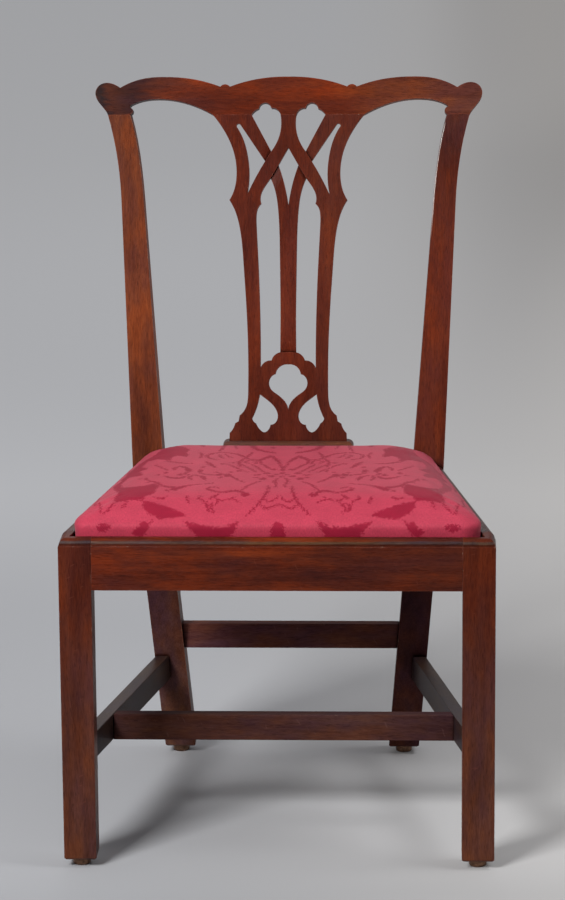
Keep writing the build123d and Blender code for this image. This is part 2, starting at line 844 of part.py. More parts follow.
def cover_tacks():
    head = ledge + seat_rest_gap
    solids = []
    for p, shank in zip(cover_tack_places(), cover_tack_holes(0)):
        solids.append(shank + rod(Plane(origin=(p.X, p.Y, head)), tack_head_radius, -tack_head_height, 0))
    return solids


def seat_cover():
    outer = padded_seat(0, ledge + seat_rest_gap)
    inner = padded_seat(cover_thickness, slip_bottom)
    opening = prism(seat_corners(seat_clearance + cover_turn_under), ledge, slip_bottom)
    cover = outer - inner - opening
    return cover - cover_tack_holes()


def stuffing():
    bottom = slip_top + 2 * webbing_thickness + sackcloth_thickness + soft_gap
    inner = cover_thickness + soft_gap
    body = padded_seat(inner, slip_bottom)
    return body & Pos(0, 0, bottom) * Box(
        2 * front_width, 2 * overall_depth, overall_height, align=(Align.CENTER, Align.CENTER, Align.MIN)
    )


slip_edge = seat_clearance + cover_thickness + soft_gap
slip_outer = seat_corners(slip_edge)
slip_front = slip_outer[0][1]
slip_rear = slip_outer[1][1]


def slip_joint(y, direction):
    """Joint between a side member and the front or rear one, on the right."""
    x = rail_line(y, side_lip + slip_edge + slip_member / 2)
    return Plane(
        origin=(x, y, slip_bottom + slip_thickness / 2),
        x_dir=(1, 0, 0),
        z_dir=(-direction * sin(side_angle), direction * cos(side_angle), 0),
    )


def slip_tenon(direction, clearance=0.0):
    y = slip_rear - slip_member if direction > 0 else slip_front + slip_member
    plane = slip_joint(y, direction)
    return peg(plane, slip_member - 2 * tongue_inset, slip_thickness / 3, slip_tenon_length, clearance)


def slip_ring():
    outer = seat_section(slip_edge, slip_bottom, seat_corner)
    inner = make_face(Polyline(*seat_corners(slip_edge + slip_member), close=True))
    return extrude(outer - Pos(0, 0, slip_bottom) * inner, slip_thickness)


def slip_slice(front, rear):
    half = front_width
    return prism([(-half, front), (half, front), (half, rear), (-half, rear)], 0, overall_height)


def slip_piece(name):
    """One member of the drop-in seat's frame: front, rear or side (the right-hand one)."""
    front_line = slip_front + slip_member
    rear_line = slip_rear - slip_member
    if name == "front":
        member = slip_ring() & slip_slice(0, front_line)
        member -= both_sides(slip_tenon(-1, joint_clearance))
    elif name == "rear":
        member = slip_ring() & slip_slice(rear_line, seat_depth)
        member -= both_sides(slip_tenon(1, joint_clearance))
    else:
        member = slip_ring() & slip_slice(front_line, rear_line)
        member = member.solids().sort_by(Axis.X)[-1]
        member += slip_tenon(1) + slip_tenon(-1)
    return member - (cover_tack_holes() + webbing_tack_holes())


# Webbing: strips from front to rear, and strips across on top of them
def webbing_lines():
    """Middle lines of the strips, as (x, y) end points: lengthwise ones, then crosswise ones."""
    gap = slip_edge + webbing_margin
    front = seat_corners(gap)[0][1]
    rear = seat_corners(gap)[1][1]
    inner = slip_edge + slip_member
    span = 2 * seat_corners(inner)[1][0]
    lengthwise = []
    crosswise = []
    for i in range(webbing_strips):
        share = (i + 0.5) / webbing_strips
        x = (share - 0.5) * span
        lengthwise.append(((x, front), (x, rear)))
        y = slip_front + slip_member + share * (slip_rear - slip_front - 2 * slip_member)
        half = rail_line(y + webbing_width / 2, side_lip + gap)
        crosswise.append(((-half, y), (half, y)))
    return lengthwise, crosswise


def webbing(crosswise):
    low = slip_top + (webbing_thickness if crosswise else 0)
    strips = []
    for (x0, y0), (x1, y1) in webbing_lines()[crosswise]:
        wide = (0, webbing_width / 2) if crosswise else (webbing_width / 2, 0)
        corners = [
            (x0 - wide[0], y0 - wide[1]),
            (x1 + wide[0], y0 - wide[1]),
            (x1 + wide[0], y1 + wide[1]),
            (x0 - wide[0], y1 + wide[1]),
        ]
        strips.append(prism(corners, low, low + webbing_thickness) - webbing_tack_holes())
    return strips


def webbing_tack_places():
    """Plan point and height of each tack head seat on the webbing."""
    places = []
    for crosswise, lines in enumerate(webbing_lines()):
        z = slip_top + webbing_thickness * (1 + crosswise)
        for (x0, y0), (x1, y1) in lines:
            length = max(x1 - x0, y1 - y0)
            ahead = ((x1 - x0) / length, (y1 - y0) / length)
            for side in (-0.25, 0.25):
                across = (ahead[1] * side * webbing_width, ahead[0] * side * webbing_width)
                for x, y, way in ((x0, y0, 1), (x1, y1, -1)):
                    step = way * webbing_margin
                    places.append((x + ahead[0] * step + across[0], y + ahead[1] * step + across[1], z))
    return places


def webbing_tack_holes(clearance=tack_clearance):
    radius = tack_radius + clearance
    return [rod(Plane(origin=p), radius, -tack_length - clearance, 0) for p in webbing_tack_places()]


def webbing_tacks():
    solids = []
    for p, shank in zip(webbing_tack_places(), webbing_tack_holes(0)):
        solids.append(shank + rod(Plane(origin=p), tack_head_radius, 0, tack_head_height))
    return solids


def sackcloth():
    low = slip_top + 2 * webbing_thickness
    cloth = prism(seat_corners(slip_edge + sackcloth_margin), low, low + sackcloth_thickness)
    heads = [
        rod(Plane(origin=p), tack_head_radius + soft_gap, 0, 2 * webbing_thickness)
        for p in webbing_tack_places()
    ]
    return cloth - heads


# Writing the pieces
def save(name, shape):
    place = Pos(0, -overall_depth / 2, 0)
    if isinstance(shape, list):
        shape = Compound(children=[place * solid for solid in shape])
    else:
        shape = place * shape
    export_step(shape, f"parts/{name}.step")


def save_pair(name, shape):
    save(f"{name}_right", shape)
    save(f"{name}_left", mirror(shape, about=Plane.YZ))


def main():
    os.makedirs("parts", exist_ok=True)
    save_pair("front_leg", front_leg())
    save_pair("back_post", back_post())
    save("front_seat_rail", front_rail())
    save_pair("side_seat_rail", side_rail())
    save("rear_seat_rail", rear_rail())
    save_pair("side_stretcher", side_stretcher())
    save("cross_stretcher", cross_stretcher())
    save("rear_stretcher", rear_stretcher())
    save("splat_shoe", shoe())
    save("splat", splat())
    save("crest_rail", crest_rail())
    save_pair("front_corner_block", corner_block(False))
    save_pair("rear_corner_block", corner_block(True))
    screws = [screw(plane) for rear in (False, True) for plane in screw_planes(rear)]
    save("corner_block_screws", screws + [mirror(s, about=Plane.YZ) for s in screws])
    save_pair("front_glide", glide(front_foot))
    save_pair("rear_glide", glide(rear_foot))
    save("slip_frame_front", slip_piece("front"))
    save("slip_frame_rear", slip_piece("rear"))
    save_pair("slip_frame_side", slip_piece("side"))
    save("webbing_lengthwise", webbing(0))
    save("webbing_crosswise", webbing(1))
    save("webbing_tacks", webbing_tacks())
    save("sackcloth", sackcloth())
    save("stuffing", stuffing())
    save("seat_cover", seat_cover())
    save("cover_tacks", cover_tacks())


main()
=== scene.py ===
"""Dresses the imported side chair: waxed mahogany, a damask drop-in seat, webbing, floor, light and camera."""
import math

import bmesh
import bpy
import numpy as np
from mathutils import Matrix, Vector
from mathutils.kdtree import KDTree


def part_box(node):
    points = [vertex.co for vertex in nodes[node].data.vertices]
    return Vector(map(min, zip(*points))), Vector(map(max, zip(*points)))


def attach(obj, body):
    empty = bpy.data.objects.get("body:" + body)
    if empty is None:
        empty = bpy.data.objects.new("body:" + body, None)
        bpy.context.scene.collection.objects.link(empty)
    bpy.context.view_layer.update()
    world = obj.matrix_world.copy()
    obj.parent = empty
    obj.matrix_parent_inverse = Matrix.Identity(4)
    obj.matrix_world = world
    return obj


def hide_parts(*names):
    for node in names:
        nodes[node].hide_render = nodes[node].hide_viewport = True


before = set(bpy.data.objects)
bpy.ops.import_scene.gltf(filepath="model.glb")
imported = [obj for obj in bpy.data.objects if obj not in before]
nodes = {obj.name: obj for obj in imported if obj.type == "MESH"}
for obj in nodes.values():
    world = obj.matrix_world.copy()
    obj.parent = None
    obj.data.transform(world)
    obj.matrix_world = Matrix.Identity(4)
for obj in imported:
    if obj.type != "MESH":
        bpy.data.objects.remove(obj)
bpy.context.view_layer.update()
scene = bpy.context.scene
scene.view_settings.view_transform = "Standard"


def grey(level):
    return (level, level, level)


def adjust(colour, times, plus=0.0):
    """A colour made stronger or weaker, with some white added."""
    return tuple(times * c + plus for c in colour)


white = grey(1.0)


class Graph:
    """Adds shader nodes to a material or a world and hands back their outputs."""

    def __init__(self, owner):
        owner.use_nodes = True
        self.tree = owner.node_tree

    def put(self, socket, value):
        """Links an output to a socket, or sets the socket's value. Colours are given without alpha."""
        if isinstance(value, bpy.types.NodeSocket):
            self.tree.links.new(value, socket)
        elif socket.type == "RGBA":
            socket.default_value = (*value, 1.0)
        else:
            socket.default_value = value

    def add(self, kind, inputs=None, out=0, **settings):
        node = self.tree.nodes.new("ShaderNode" + kind)
        for name, value in settings.items():
            setattr(node, name, value)
        for key, value in (inputs or {}).items():
            self.put(node.inputs[key], value)
        return node.outputs[out]

    def math(self, operation, *values, clamp=False):
        return self.add("Math", dict(enumerate(values)), operation=operation, use_clamp=clamp)

    def product(self, first, *others):
        for value in others:
            first = self.math("MULTIPLY", first, value)
        return first

    def vector(self, operation, *values, out=0):
        return self.add("VectorMath", dict(enumerate(values)), out=out, operation=operation)

    def scale(self, value, factor):
        return self.add("VectorMath", {0: value, "Scale": factor}, operation="SCALE")

    def parts(self, value):
        """The outputs X, Y and Z of a vector."""
        return self.add("SeparateXYZ", {0: value}).node.outputs

    def noise(self, place, scale, detail=2.0, rough=0.5, out=0):
        place = self.vector("MULTIPLY", place, scale)
        inputs = {"Vector": place, "Scale": 1.0, "Detail": detail, "Roughness": rough}
        return self.add("TexNoise", inputs, out=out)

    def wobble(self, place, scale, detail, size):
        """The place, moved by a noise, up to about half of size each way."""
        way = self.vector("SUBTRACT", self.noise(place, scale, detail, out="Color"), grey(0.5))
        return self.vector("ADD", place, self.scale(way, size))

    def wave(self, place, pitch, direction="X", distortion=0.0):
        """Bands that are one pitch apart along a direction."""
        scale = math.pi / 10 / pitch
        inputs = {"Vector": place, "Scale": scale, "Distortion": distortion, "Detail": 1.0}
        return self.add("TexWave", inputs, out="Fac", bands_direction=direction)

    def remap(self, value, low, high, to_low=0.0, to_high=1.0, smooth=False):
        inputs = {"Value": value, "From Min": low, "From Max": high, "To Min": to_low, "To Max": to_high}
        kind = "SMOOTHSTEP" if smooth else "LINEAR"
        return self.add("MapRange", inputs, interpolation_type=kind)

    def between(self, share, a, b):
        """A number between two others."""
        return self.add("Mix", {0: share, 2: a, 3: b}, data_type="FLOAT")

    def mix(self, share, a, b, blend="MIX"):
        return self.add("Mix", {0: share, 6: a, 7: b}, out=2, data_type="RGBA", blend_type=blend)

    def tint(self, colour, by):
        """A colour multiplied by another."""
        return self.mix(1.0, colour, by, "MULTIPLY")

    def ramp(self, value, *stops):
        output = self.add("ValToRGB", {0: value})
        elements = output.node.color_ramp.elements
        while len(elements) < len(stops):
            elements.new(0.5)
        for element, (position, colour) in zip(elements, stops):
            element.position = position
            element.color = (*colour, 1.0)
        return output

    def vary(self, colour, noise, dark, light):
        """A colour made darker and lighter by a noise, which mostly keeps between 0.3 and 0.7."""
        return self.tint(colour, self.ramp(noise, (0.3, grey(dark)), (0.7, grey(light))))

    def edges(self, radius, samples, sharp):
        """The normal, rounded over at edges, and a share that grows from 0 to 1 toward an edge."""
        rounded = self.add("Bevel", {"Radius": radius}, samples=samples)
        flat = self.add("NewGeometry", out="True Normal")
        agree = self.vector("DOT_PRODUCT", rounded, flat, out="Value")
        return rounded, self.remap(agree, 0.995, sharp)

    def bump(self, height, strength, distance):
        return self.add("Bump", {"Height": height, "Strength": strength, "Distance": distance})

    def surface(self, **values):
        shader = self.tree.nodes["Principled BSDF"]
        for name, value in values.items():
            self.put(shader.inputs[name.replace("_", " ")], value)


def painted_glint_share(g, whole, rounded, wear_and_glint_noise, lowest, highest):
    """Share of a painted white glint on an edge between a front and a left face, from one height up to
    another.
    """
    up = g.parts(whole)["Z"]
    facing = g.parts(rounded)
    left = g.remap(facing["X"], -0.14, -0.26)
    front = g.remap(facing["Y"], -0.16, -0.28)
    patchy = g.remap(wear_and_glint_noise, 0.3, 0.45, 0.3, 1.0)
    above = g.remap(up, lowest, lowest + 0.05)
    below = g.remap(up, highest, highest - 0.01)
    return g.product(left, front, patchy, above, below)


def wood(name, along, seed, tone, wear, scratches, rough=0.28, shine=0.13, streak=0.22, mottle=0.5,
         glint_heights=None, fades=()):
    """Grained wood whose fibres run along a direction.

    Where two heights are given for the glint, an edge between them gets a painted white glint. Each fade tints
    along one axis.
    """
    chipped = (0.36, 0.26, 0.19)
    glint_white = (0.92, 0.86, 0.82)
    fleck_share = 0.28
    material = bpy.data.materials.new(name)
    g = Graph(material)
    turn = Vector(along).normalized().rotation_difference(Vector((0, 0, 1))).to_euler()
    spot = (0.37 * seed, -0.53 * seed, 0.29 * seed)     # each piece has its own stretch of grain
    whole = g.add("TexCoord", out="Object")
    place = g.add("Mapping", {"Vector": whole, "Rotation": turn, "Location": spot})
    # Fibres and pores
    grain = g.wobble(place, (5.0, 5.0, 1.6), detail=1.0, size=0.03)
    broad = g.noise(grain, (26.0, 26.0, 4.0), detail=3.0, rough=0.55)
    stripe = g.noise(grain, (150.0, 150.0, 6.0), detail=3.0, rough=0.6)
    fleck = g.noise(grain, (620.0, 620.0, 70.0), detail=2.0, rough=0.6)
    depth = g.math("MULTIPLY", broad, 1.0 - fleck_share - streak)
    depth = g.math("MULTIPLY_ADD", stripe, streak, depth)
    depth = g.math("MULTIPLY_ADD", fleck, fleck_share, depth)
    red, green, blue = tone
    dark = (0.58 * red, 0.5 * green, 0.5 * blue)
    light = (1.42 * red, 1.6 * green, 1.5 * blue)
    colour = g.ramp(depth, (0.35, dark), (0.5, tone), (0.65, light))
    pores = g.remap(g.noise(grain, (1500.0, 1500.0, 120.0), detail=0.0), 0.6, 0.74)
    colour = g.mix(g.math("MULTIPLY", pores, 0.4), colour, adjust(dark, 0.4))
    # Colder and warmer patches, clouds and fades
    patch = g.noise(grain, (34.0, 34.0, 11.0), detail=3.0, rough=0.6)
    cold = adjust((0.7, 0.78, 1.4), mottle, 1.0 - mottle)
    warm = adjust((1.6, 1.36, 0.66), mottle, 1.0 - mottle)
    colour = g.tint(colour, g.ramp(patch, (0.36, cold), (0.5, white), (0.64, warm)))
    cloud = g.noise(place, (9.0, 9.0, 4.0), detail=3.0)
    colour = g.vary(colour, cloud, 0.74, 1.22)
    for axis, start, end, stray, *stops in fades:
        reach = g.math("ADD", g.parts(whole)[axis], g.remap(patch, 0.3, 0.7, -stray, stray))
        colour = g.tint(colour, g.ramp(g.remap(reach, start, end), *stops))
    # Worn edges, chips, scratches, a painted white glint on one edge where heights are given, and painted
    # shade in the corners
    rounded, arris = g.edges(radius=0.0022, samples=6, sharp=0.86)
    wear_and_glint_noise = g.noise(place, (90.0, 90.0, 34.0), detail=3.0, rough=0.7)
    edge = g.math("MULTIPLY", arris, g.remap(wear_and_glint_noise, 0.42, 0.66, 0.08, 1.0))
    colour = g.mix(g.math("MULTIPLY", edge, wear), colour, adjust(light, 1.9, 0.035))
    chip = g.remap(g.noise(place, (260.0, 260.0, 150.0), detail=1.0), 0.66, 0.72, 0.0, wear)
    colour = g.mix(g.math("MULTIPLY", arris, chip), colour, chipped)
    # Painted white glint along the edge between the front and left faces
    if glint_heights:
        colour = g.mix(painted_glint_share(g, whole, rounded, wear_and_glint_noise, *glint_heights), colour, glint_white)
    slanted = g.add("Mapping", {"Vector": place, "Rotation": (0.9, 0.7, 0.3)})
    marks = g.remap(g.noise(slanted, (22.0, 420.0, 160.0), detail=1.0), 0.71, 0.77, 0.0, scratches)
    colour = g.mix(marks, colour, adjust(light, 1.5, 0.02))
    # Painted shade in corners, seams and recesses, darker where ambient occlusion finds surfaces close by
    clear = g.add("AmbientOcclusion", {"Distance": 0.005}, out="AO", samples=6)
    colour = g.mix(g.remap(clear, 0.95, 0.55, 0.0, 0.9), colour, adjust(dark, 0.25))
    # Gloss and relief
    dull = g.math("MULTIPLY_ADD", depth, 0.16, rough - 0.08)
    dull = g.math("MULTIPLY_ADD", edge, 0.12, dull)
    height = g.math("MULTIPLY_ADD", pores, -0.6, g.math("MULTIPLY", fleck, 0.5))
    height = g.math("MULTIPLY_ADD", cloud, 2.2, height)
    height = g.math("MULTIPLY_ADD", marks, -0.8, height)
    relief = g.bump(height, strength=0.35, distance=0.0006)
    g.surface(Base_Color=colour, Roughness=dull, Normal=relief, Specular_IOR_Level=shine)
    return material


def metal(name, base, tarnish, rough, seed):
    """Dull worn metal with specks of tarnish."""
    material = bpy.data.materials.new(name)
    g = Graph(material)
    place = g.vector("ADD", g.add("TexCoord", out="Object"), (seed, seed, seed))
    cloud = g.noise(place, (160.0, 160.0, 160.0), detail=4.0, rough=0.65)
    fine = g.noise(place, (1400.0, 1400.0, 1400.0), detail=2.0)
    colour = g.ramp(cloud, (0.35, base), (0.65, tarnish))
    edge = g.edges(radius=0.0012, samples=4, sharp=0.85)[1]
    colour = g.mix(g.math("MULTIPLY", edge, 0.7), colour, adjust(base, 1.8, 0.03))
    dull = g.math("MULTIPLY_ADD", cloud, 0.3, rough - 0.15)
    height = g.math("MULTIPLY_ADD", fine, 0.4, cloud)
    relief = g.bump(height, strength=0.4, distance=0.0003)
    g.surface(Base_Color=colour, Roughness=dull, Normal=relief, Metallic=0.9)
    return material


def weave(name, tones, pitch, stripe=None):
    """Coarse plain weave from the two thread directions of the attribute named cloth.

    A stripe lies at a share of the width from the middle, which is the attribute's third value.
    """
    material = bpy.data.materials.new(name)
    g = Graph(material)
    cloth = g.add("Attribute", out="Vector", attribute_name="cloth")
    thread = g.wobble(cloth, (160.0, 160.0, 1.0), detail=2.0, size=0.6 * pitch)
    warp = g.wave(thread, pitch, "X")
    weft = g.wave(thread, pitch, "Y")
    count = g.parts(g.scale(thread, 1.0 / pitch))
    crossing = g.math("ADD", g.math("FLOOR", count["X"]), g.math("FLOOR", count["Y"]))
    over = g.math("PINGPONG", crossing, 1.0)
    height = g.between(over, warp, weft)
    slub = g.noise(thread, (60.0, 900.0, 1.0), detail=2.0)
    slub_across = g.noise(thread, (900.0, 60.0, 1.0), detail=2.0)
    slubs = g.math("MULTIPLY", g.math("ADD", slub, slub_across), 0.25)
    dark, middle, light = tones
    tone = g.math("MULTIPLY_ADD", height, 0.5, slubs)
    colour = g.ramp(tone, (0.2, dark), (0.5, middle), (0.8, light))
    if stripe:
        share, stripe_colour = stripe
        away = g.math("ABSOLUTE", g.math("SUBTRACT", g.parts(cloth)["Z"], share))
        colour = g.mix(g.remap(away, 0.035, 0.03), colour, stripe_colour)
    dust = g.noise(cloth, (25.0, 25.0, 1.0), detail=3.0)
    colour = g.vary(colour, dust, 0.75, 1.1)
    dull = g.remap(height, 0.0, 1.0, 0.95, 0.82)
    relief = g.bump(height, strength=0.8, distance=0.0006)
    g.surface(Base_Color=colour, Roughness=dull, Normal=relief)
    g.surface(Specular_IOR_Level=0.2, Sheen_Weight=0.15, Sheen_Roughness=0.5)
    return material


def damask():
    """Red damask: a smooth figure on a ribbed ground, told apart by the attribute named figure."""
    thread_step = 0.0013        # the figure's edge goes in steps of one thread
    ragged_reach = 0.0050
    soft_reach = 0.0006
    rib_pitch = 0.0012
    twill_pitch = 0.0022
    material = bpy.data.materials.new("damask")
    g = Graph(material)
    cloth = g.add("Attribute", out="Vector", attribute_name="cloth")
    inside = g.add("Attribute", out="Fac", attribute_name="figure")
    stepped = g.vector("SNAP", cloth, (thread_step, thread_step, 1.0))
    ragged = g.noise(stepped, (330.0, 330.0, 1.0), detail=3.0, rough=0.8)
    inside = g.math("ADD", inside, g.remap(ragged, 0.25, 0.75, -ragged_reach, ragged_reach))
    share = g.remap(inside, -soft_reach, soft_reach, smooth=True)
    uneven = g.noise(cloth, (38.0, 38.0, 1.0), detail=3.0)
    thread = g.noise(cloth, (620.0, 300.0, 1.0), detail=2.0, rough=0.7)
    rib = g.wave(cloth, rib_pitch, "X", 0.3)
    turned = g.add("Mapping", {"Vector": cloth, "Rotation": (0.0, 0.0, 0.9)})
    twill = g.wave(turned, twill_pitch, "Y", 0.8)
    ground = g.ramp(twill, (0.1, (0.27, 0.0045, 0.024)), (0.9, (0.355, 0.011, 0.042)))
    light = g.ramp(rib, (0.1, (0.48, 0.039, 0.076)), (0.9, (0.54, 0.049, 0.092)))
    colour = g.mix(share, ground, light)
    colour = g.vary(colour, thread, 0.84, 1.16)
    colour = g.vary(colour, uneven, 0.92, 1.06)
    height = g.math("MULTIPLY_ADD", share, 0.5, g.between(share, twill, rib))
    dull = g.remap(share, 0.0, 1.0, 0.72, 0.56)
    sheen = g.remap(share, 0.0, 1.0, 0.11, 0.1)
    relief = g.bump(height, strength=0.45, distance=0.0004)
    g.surface(Base_Color=colour, Roughness=dull, Normal=relief, Specular_IOR_Level=0.2)
    g.surface(Sheen_Weight=sheen, Sheen_Roughness=0.35, Sheen_Tint=(1.0, 0.72, 0.76))
    return material


# Tones and fades of the wood. A fade is an axis, where it starts and ends, how far it strays and its stops.
brown = (0.082, 0.0145, 0.0062)
dusk = (0.048, 0.026, 0.022)
raw = (0.34, 0.22, 0.11)
# Painted shade on the back legs below the seat, greyer toward the floor
low_legs_shade = [
    "Z", 0.0, 0.44, 0.02,
    (0.0, (0.84, 1.50, 2.8)), (0.55, (0.54, 0.82, 2.0)), (0.93, (0.56, 0.74, 1.35)), (1.0, white),
]
# Front legs paler and greyer toward the floor
feet_paler_greyer = ["Z", 0.0, 0.36, 0.02, (0.0, (1.5, 2.9, 4.4)), (0.5, (1.35, 2.3, 3.4)), (1.0, white)]
# Painted shade and a painted blue-grey reflection in a narrow band along the bead of the front rail and legs
bead_shade_and_reflection = [
    "Z", 0.4255, 0.4345, 0.0006,
    (0.0, white), (0.28, (0.5, 0.7, 1.0)), (0.42, (0.8, 2.6, 5.2)), (0.6, (0.7, 2.1, 4.2)), (0.75, white),
]
# Painted shade and painted bluish sheen at the crest's ears: dark at the left, greyer at the right
crest_ear_shade_and_sheen = [
    "X", -0.265, 0.265, 0.02,
    (0.0, (0.30, 0.64, 2.0)), (0.035, (0.10, 0.37, 2.0)), (0.06, (0.30, 0.56, 1.7)),
    (0.10, (0.22, 0.45, 1.7)), (0.16, (0.52, 0.72, 1.5)), (0.30, white),
    (0.62, white), (0.72, (1.0, 1.5, 2.2)), (0.86, (0.95, 1.6, 2.8)), (1.0, (0.78, 1.5, 3.0)),
]
# Front rail lighter and warmer toward its left end
rail_lighter_left = ["X", -0.235, 0.235, 0.02, (0.0, (1.38, 1.18, 1.06)), (1.0, (0.92, 0.86, 0.78))]
pale_top = ["Z", 0.80, 0.885, 0.01, (0.3, white), (1.0, (1.0, 1.5, 2.4))]
# Painted highlight along the top edge of the splat's shoe
shoe_top_highlight = ["Z", 0.458, 0.467, 0.001, (0.15, white), (0.5, (1.35, 2.7, 3.9))]
right_strap = ["X", -0.09, 0.09, 0.004, (0.55, white), (0.72, (0.74, 0.84, 0.98))]
waxed = {"rough": 0.36, "shine": 0.09}
satin = {"rough": 0.42, "shine": 0.06}
matt = {"rough": 0.62, "shine": 0.04}
unfinished = (raw, 0.3, 0.1, {"rough": 0.7})

# Grain directions on the right side. The back leans, and the side pieces run in to the back.
rake = math.radians(13.0)
up_back = (0.0, math.sin(rake), math.cos(rake))
upright = (0, 0, 1)
across = (1, 0, 0)
rail_run = (-0.172, 0.985, 0)
stretcher_run = (-0.20, 0.98, 0)
# Grain direction, tone, edge wear, scratches and what else differs, by piece or by the pair's common name
# Each piece's tone is partly the wood's own and partly painted light and shade: lighter and more orange on the
# back, greyer on the stretchers
runs = {
    "front_leg": (upright, brown, 0.6, 0.25, {**waxed, "fades": [feet_paler_greyer, bead_shade_and_reflection]}),
    "back_post_left": (
        up_back, (0.152, 0.0355, 0.0135), 0.5, 0.0, {**satin, "mottle": 0.55, "fades": [low_legs_shade]},
    ),
    "back_post_right": (
        up_back, (0.108, 0.0195, 0.009), 0.5, 0.0,
        # a painted white glint on the inner front edge between these two heights
        {**satin, "glint_heights": (0.735, 0.89), "fades": [low_legs_shade, pale_top]},
    ),
    "front_seat_rail": (across, brown, 0.7, 0.2, {"streak": 0.5, "mottle": 0.8, "fades": [rail_lighter_left, bead_shade_and_reflection]}),
    "side_seat_rail": (rail_run, brown, 0.7, 0.2, {}),
    "rear_seat_rail": (across, brown, 0.4, 0.1, {}),
    "side_stretcher": (stretcher_run, dusk, 0.6, 0.15, {"rough": 0.4}),
    "cross_stretcher": (across, (0.074, 0.028, 0.024), 0.7, 0.25, matt),
    "rear_stretcher": (across, (0.124, 0.043, 0.040), 0.5, 0.2, matt),
    "splat_shoe": (across, brown, 0.8, 0.2, {**waxed, "fades": [shoe_top_highlight]}),
    "splat": (
        up_back, (0.116, 0.0188, 0.0080), 0.45, 0.0, {**satin, "mottle": 0.35, "fades": [right_strap]},
    ),
    "crest_rail": (
        across, (0.165, 0.0235, 0.006), 0.5, 0.0, {**satin, "mottle": 0.7, "fades": [crest_ear_shade_and_sheen]},
    ),
    "front_corner_block": ((1, 1, 0), *unfinished),
    "rear_corner_block": ((1, -1, 0), *unfinished),
    "slip_frame_front": (across, *unfinished),
    "slip_frame_rear": (across, *unfinished),
    "slip_frame_side": (rail_run, *unfinished),
}
weld_distance = 2e-5
finished_edge = 0.0013
unfinished_edge = 0.0008


def soften(obj, width):
    """Rounds the sharp edges of a CAD piece."""
    weld = obj.modifiers.new("weld", "WELD")
    weld.merge_threshold = weld_distance
    plane = obj.modifiers.new("plane", "DECIMATE")
    plane.decimate_type = "DISSOLVE"
    plane.angle_limit = math.radians(0.4)
    bevel = obj.modifiers.new("bevel", "BEVEL")
    bevel.width = width
    bevel.segments = 3
    bevel.limit_method = "ANGLE"
    bevel.angle_limit = math.radians(32)
    bevel.miter_outer = "MITER_ARC"
    bevel.harden_normals = False
    smooth = obj.modifiers.new("smooth", "WEIGHTED_NORMAL")
    smooth.weight = 80


def dress(obj, material):
    obj.data.materials.clear()
    obj.data.materials.append(material)


for order, name in enumerate(sorted(nodes)):
    run = runs.get(name) or runs.get(name.removesuffix("_left").removesuffix("_right"))
    if run:
        along, tone, wear, scratches, more = run
        if name.endswith("_left"):
            along = (-along[0], along[1], along[2])
        dress(nodes[name], wood(f"wood_{name}", along, order + 1, tone, wear, scratches, **more))
        soften(nodes[name], unfinished_edge if tone is raw else finished_edge)

iron = metal("iron", (0.06, 0.05, 0.045), (0.09, 0.035, 0.018), rough=0.55, seed=3.0)
glide_metal = metal("glide_metal", (0.24, 0.125, 0.075), (0.10, 0.055, 0.035), rough=0.3, seed=7.0)
for name in ("corner_block_screws", "webbing_tacks", "cover_tacks"):
    dress(nodes[name], iron)
for name in nodes:
    if "glide" in name:
        dress(nodes[name], glide_metal)


def new_piece(name, mesh, body, slot, *stands_for):
    obj = bpy.data.objects.new(name, mesh)
    scene.collection.objects.link(obj)
    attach(obj, body)
    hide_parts(*stands_for)
    return obj


def points(mesh):
    found = np.zeros(len(mesh.vertices) * 3)
    mesh.vertices.foreach_get("co", found)
    return found.reshape(-1, 3)


def set_points(mesh, found):
    mesh.vertices.foreach_set("co", np.asarray(found, np.float32).ravel())
    mesh.update()


def set_attribute(mesh, name, kind, values):
    made = mesh.attributes.new(name, kind, "POINT")
    field = "vector" if kind == "FLOAT_VECTOR" else "value"
    made.data.foreach_set(field, np.asarray(values, np.float32).ravel())


def apply_modifiers(obj):
    bpy.context.view_layer.update()
    graph = bpy.context.evaluated_depsgraph_get()
    made = bpy.data.meshes.new_from_object(obj.evaluated_get(graph))
    old = obj.data
    obj.modifiers.clear()
    obj.data = made
    bpy.data.meshes.remove(old)


def thicken(obj, thickness, offset):
    skin = obj.modifiers.new("skin", "SOLIDIFY")
    skin.thickness = thickness
    skin.offset = offset


# Drop-in seat: the covered pad, swollen by a cloth simulation from a slightly flatter closed form
low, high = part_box("seat_cover")
rim_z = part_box("front_seat_rail")[1].z
cover = points(nodes["seat_cover"].data)
rail_run_in = 0.0635                # the side rails run in by this much
rail_length = 0.3635                # over this length from front to back
side_slope = rail_run_in / rail_length
slant = math.hypot(1.0, side_slope)
front_half = (cover[:, 0] + side_slope * cover[:, 1]).max() - side_slope * low.y
rear_half = front_half - side_slope * (high.y - low.y)
seat_corner = 0.024
turned_under = 0.030                # the cover's edge under the seat's frame
cover_thickness = 0.0012
crown_flat = 0.93                   # height of the crown before it swells
coarse_size = 0.009                 # faces of the form that swells
fine_size = 0.004                   # faces of the pad
held_above_rim = 0.004              # the cover is held up to here when it swells
swell_limit = 0.004
swell_pressure = 12.0
swell_frames = 20


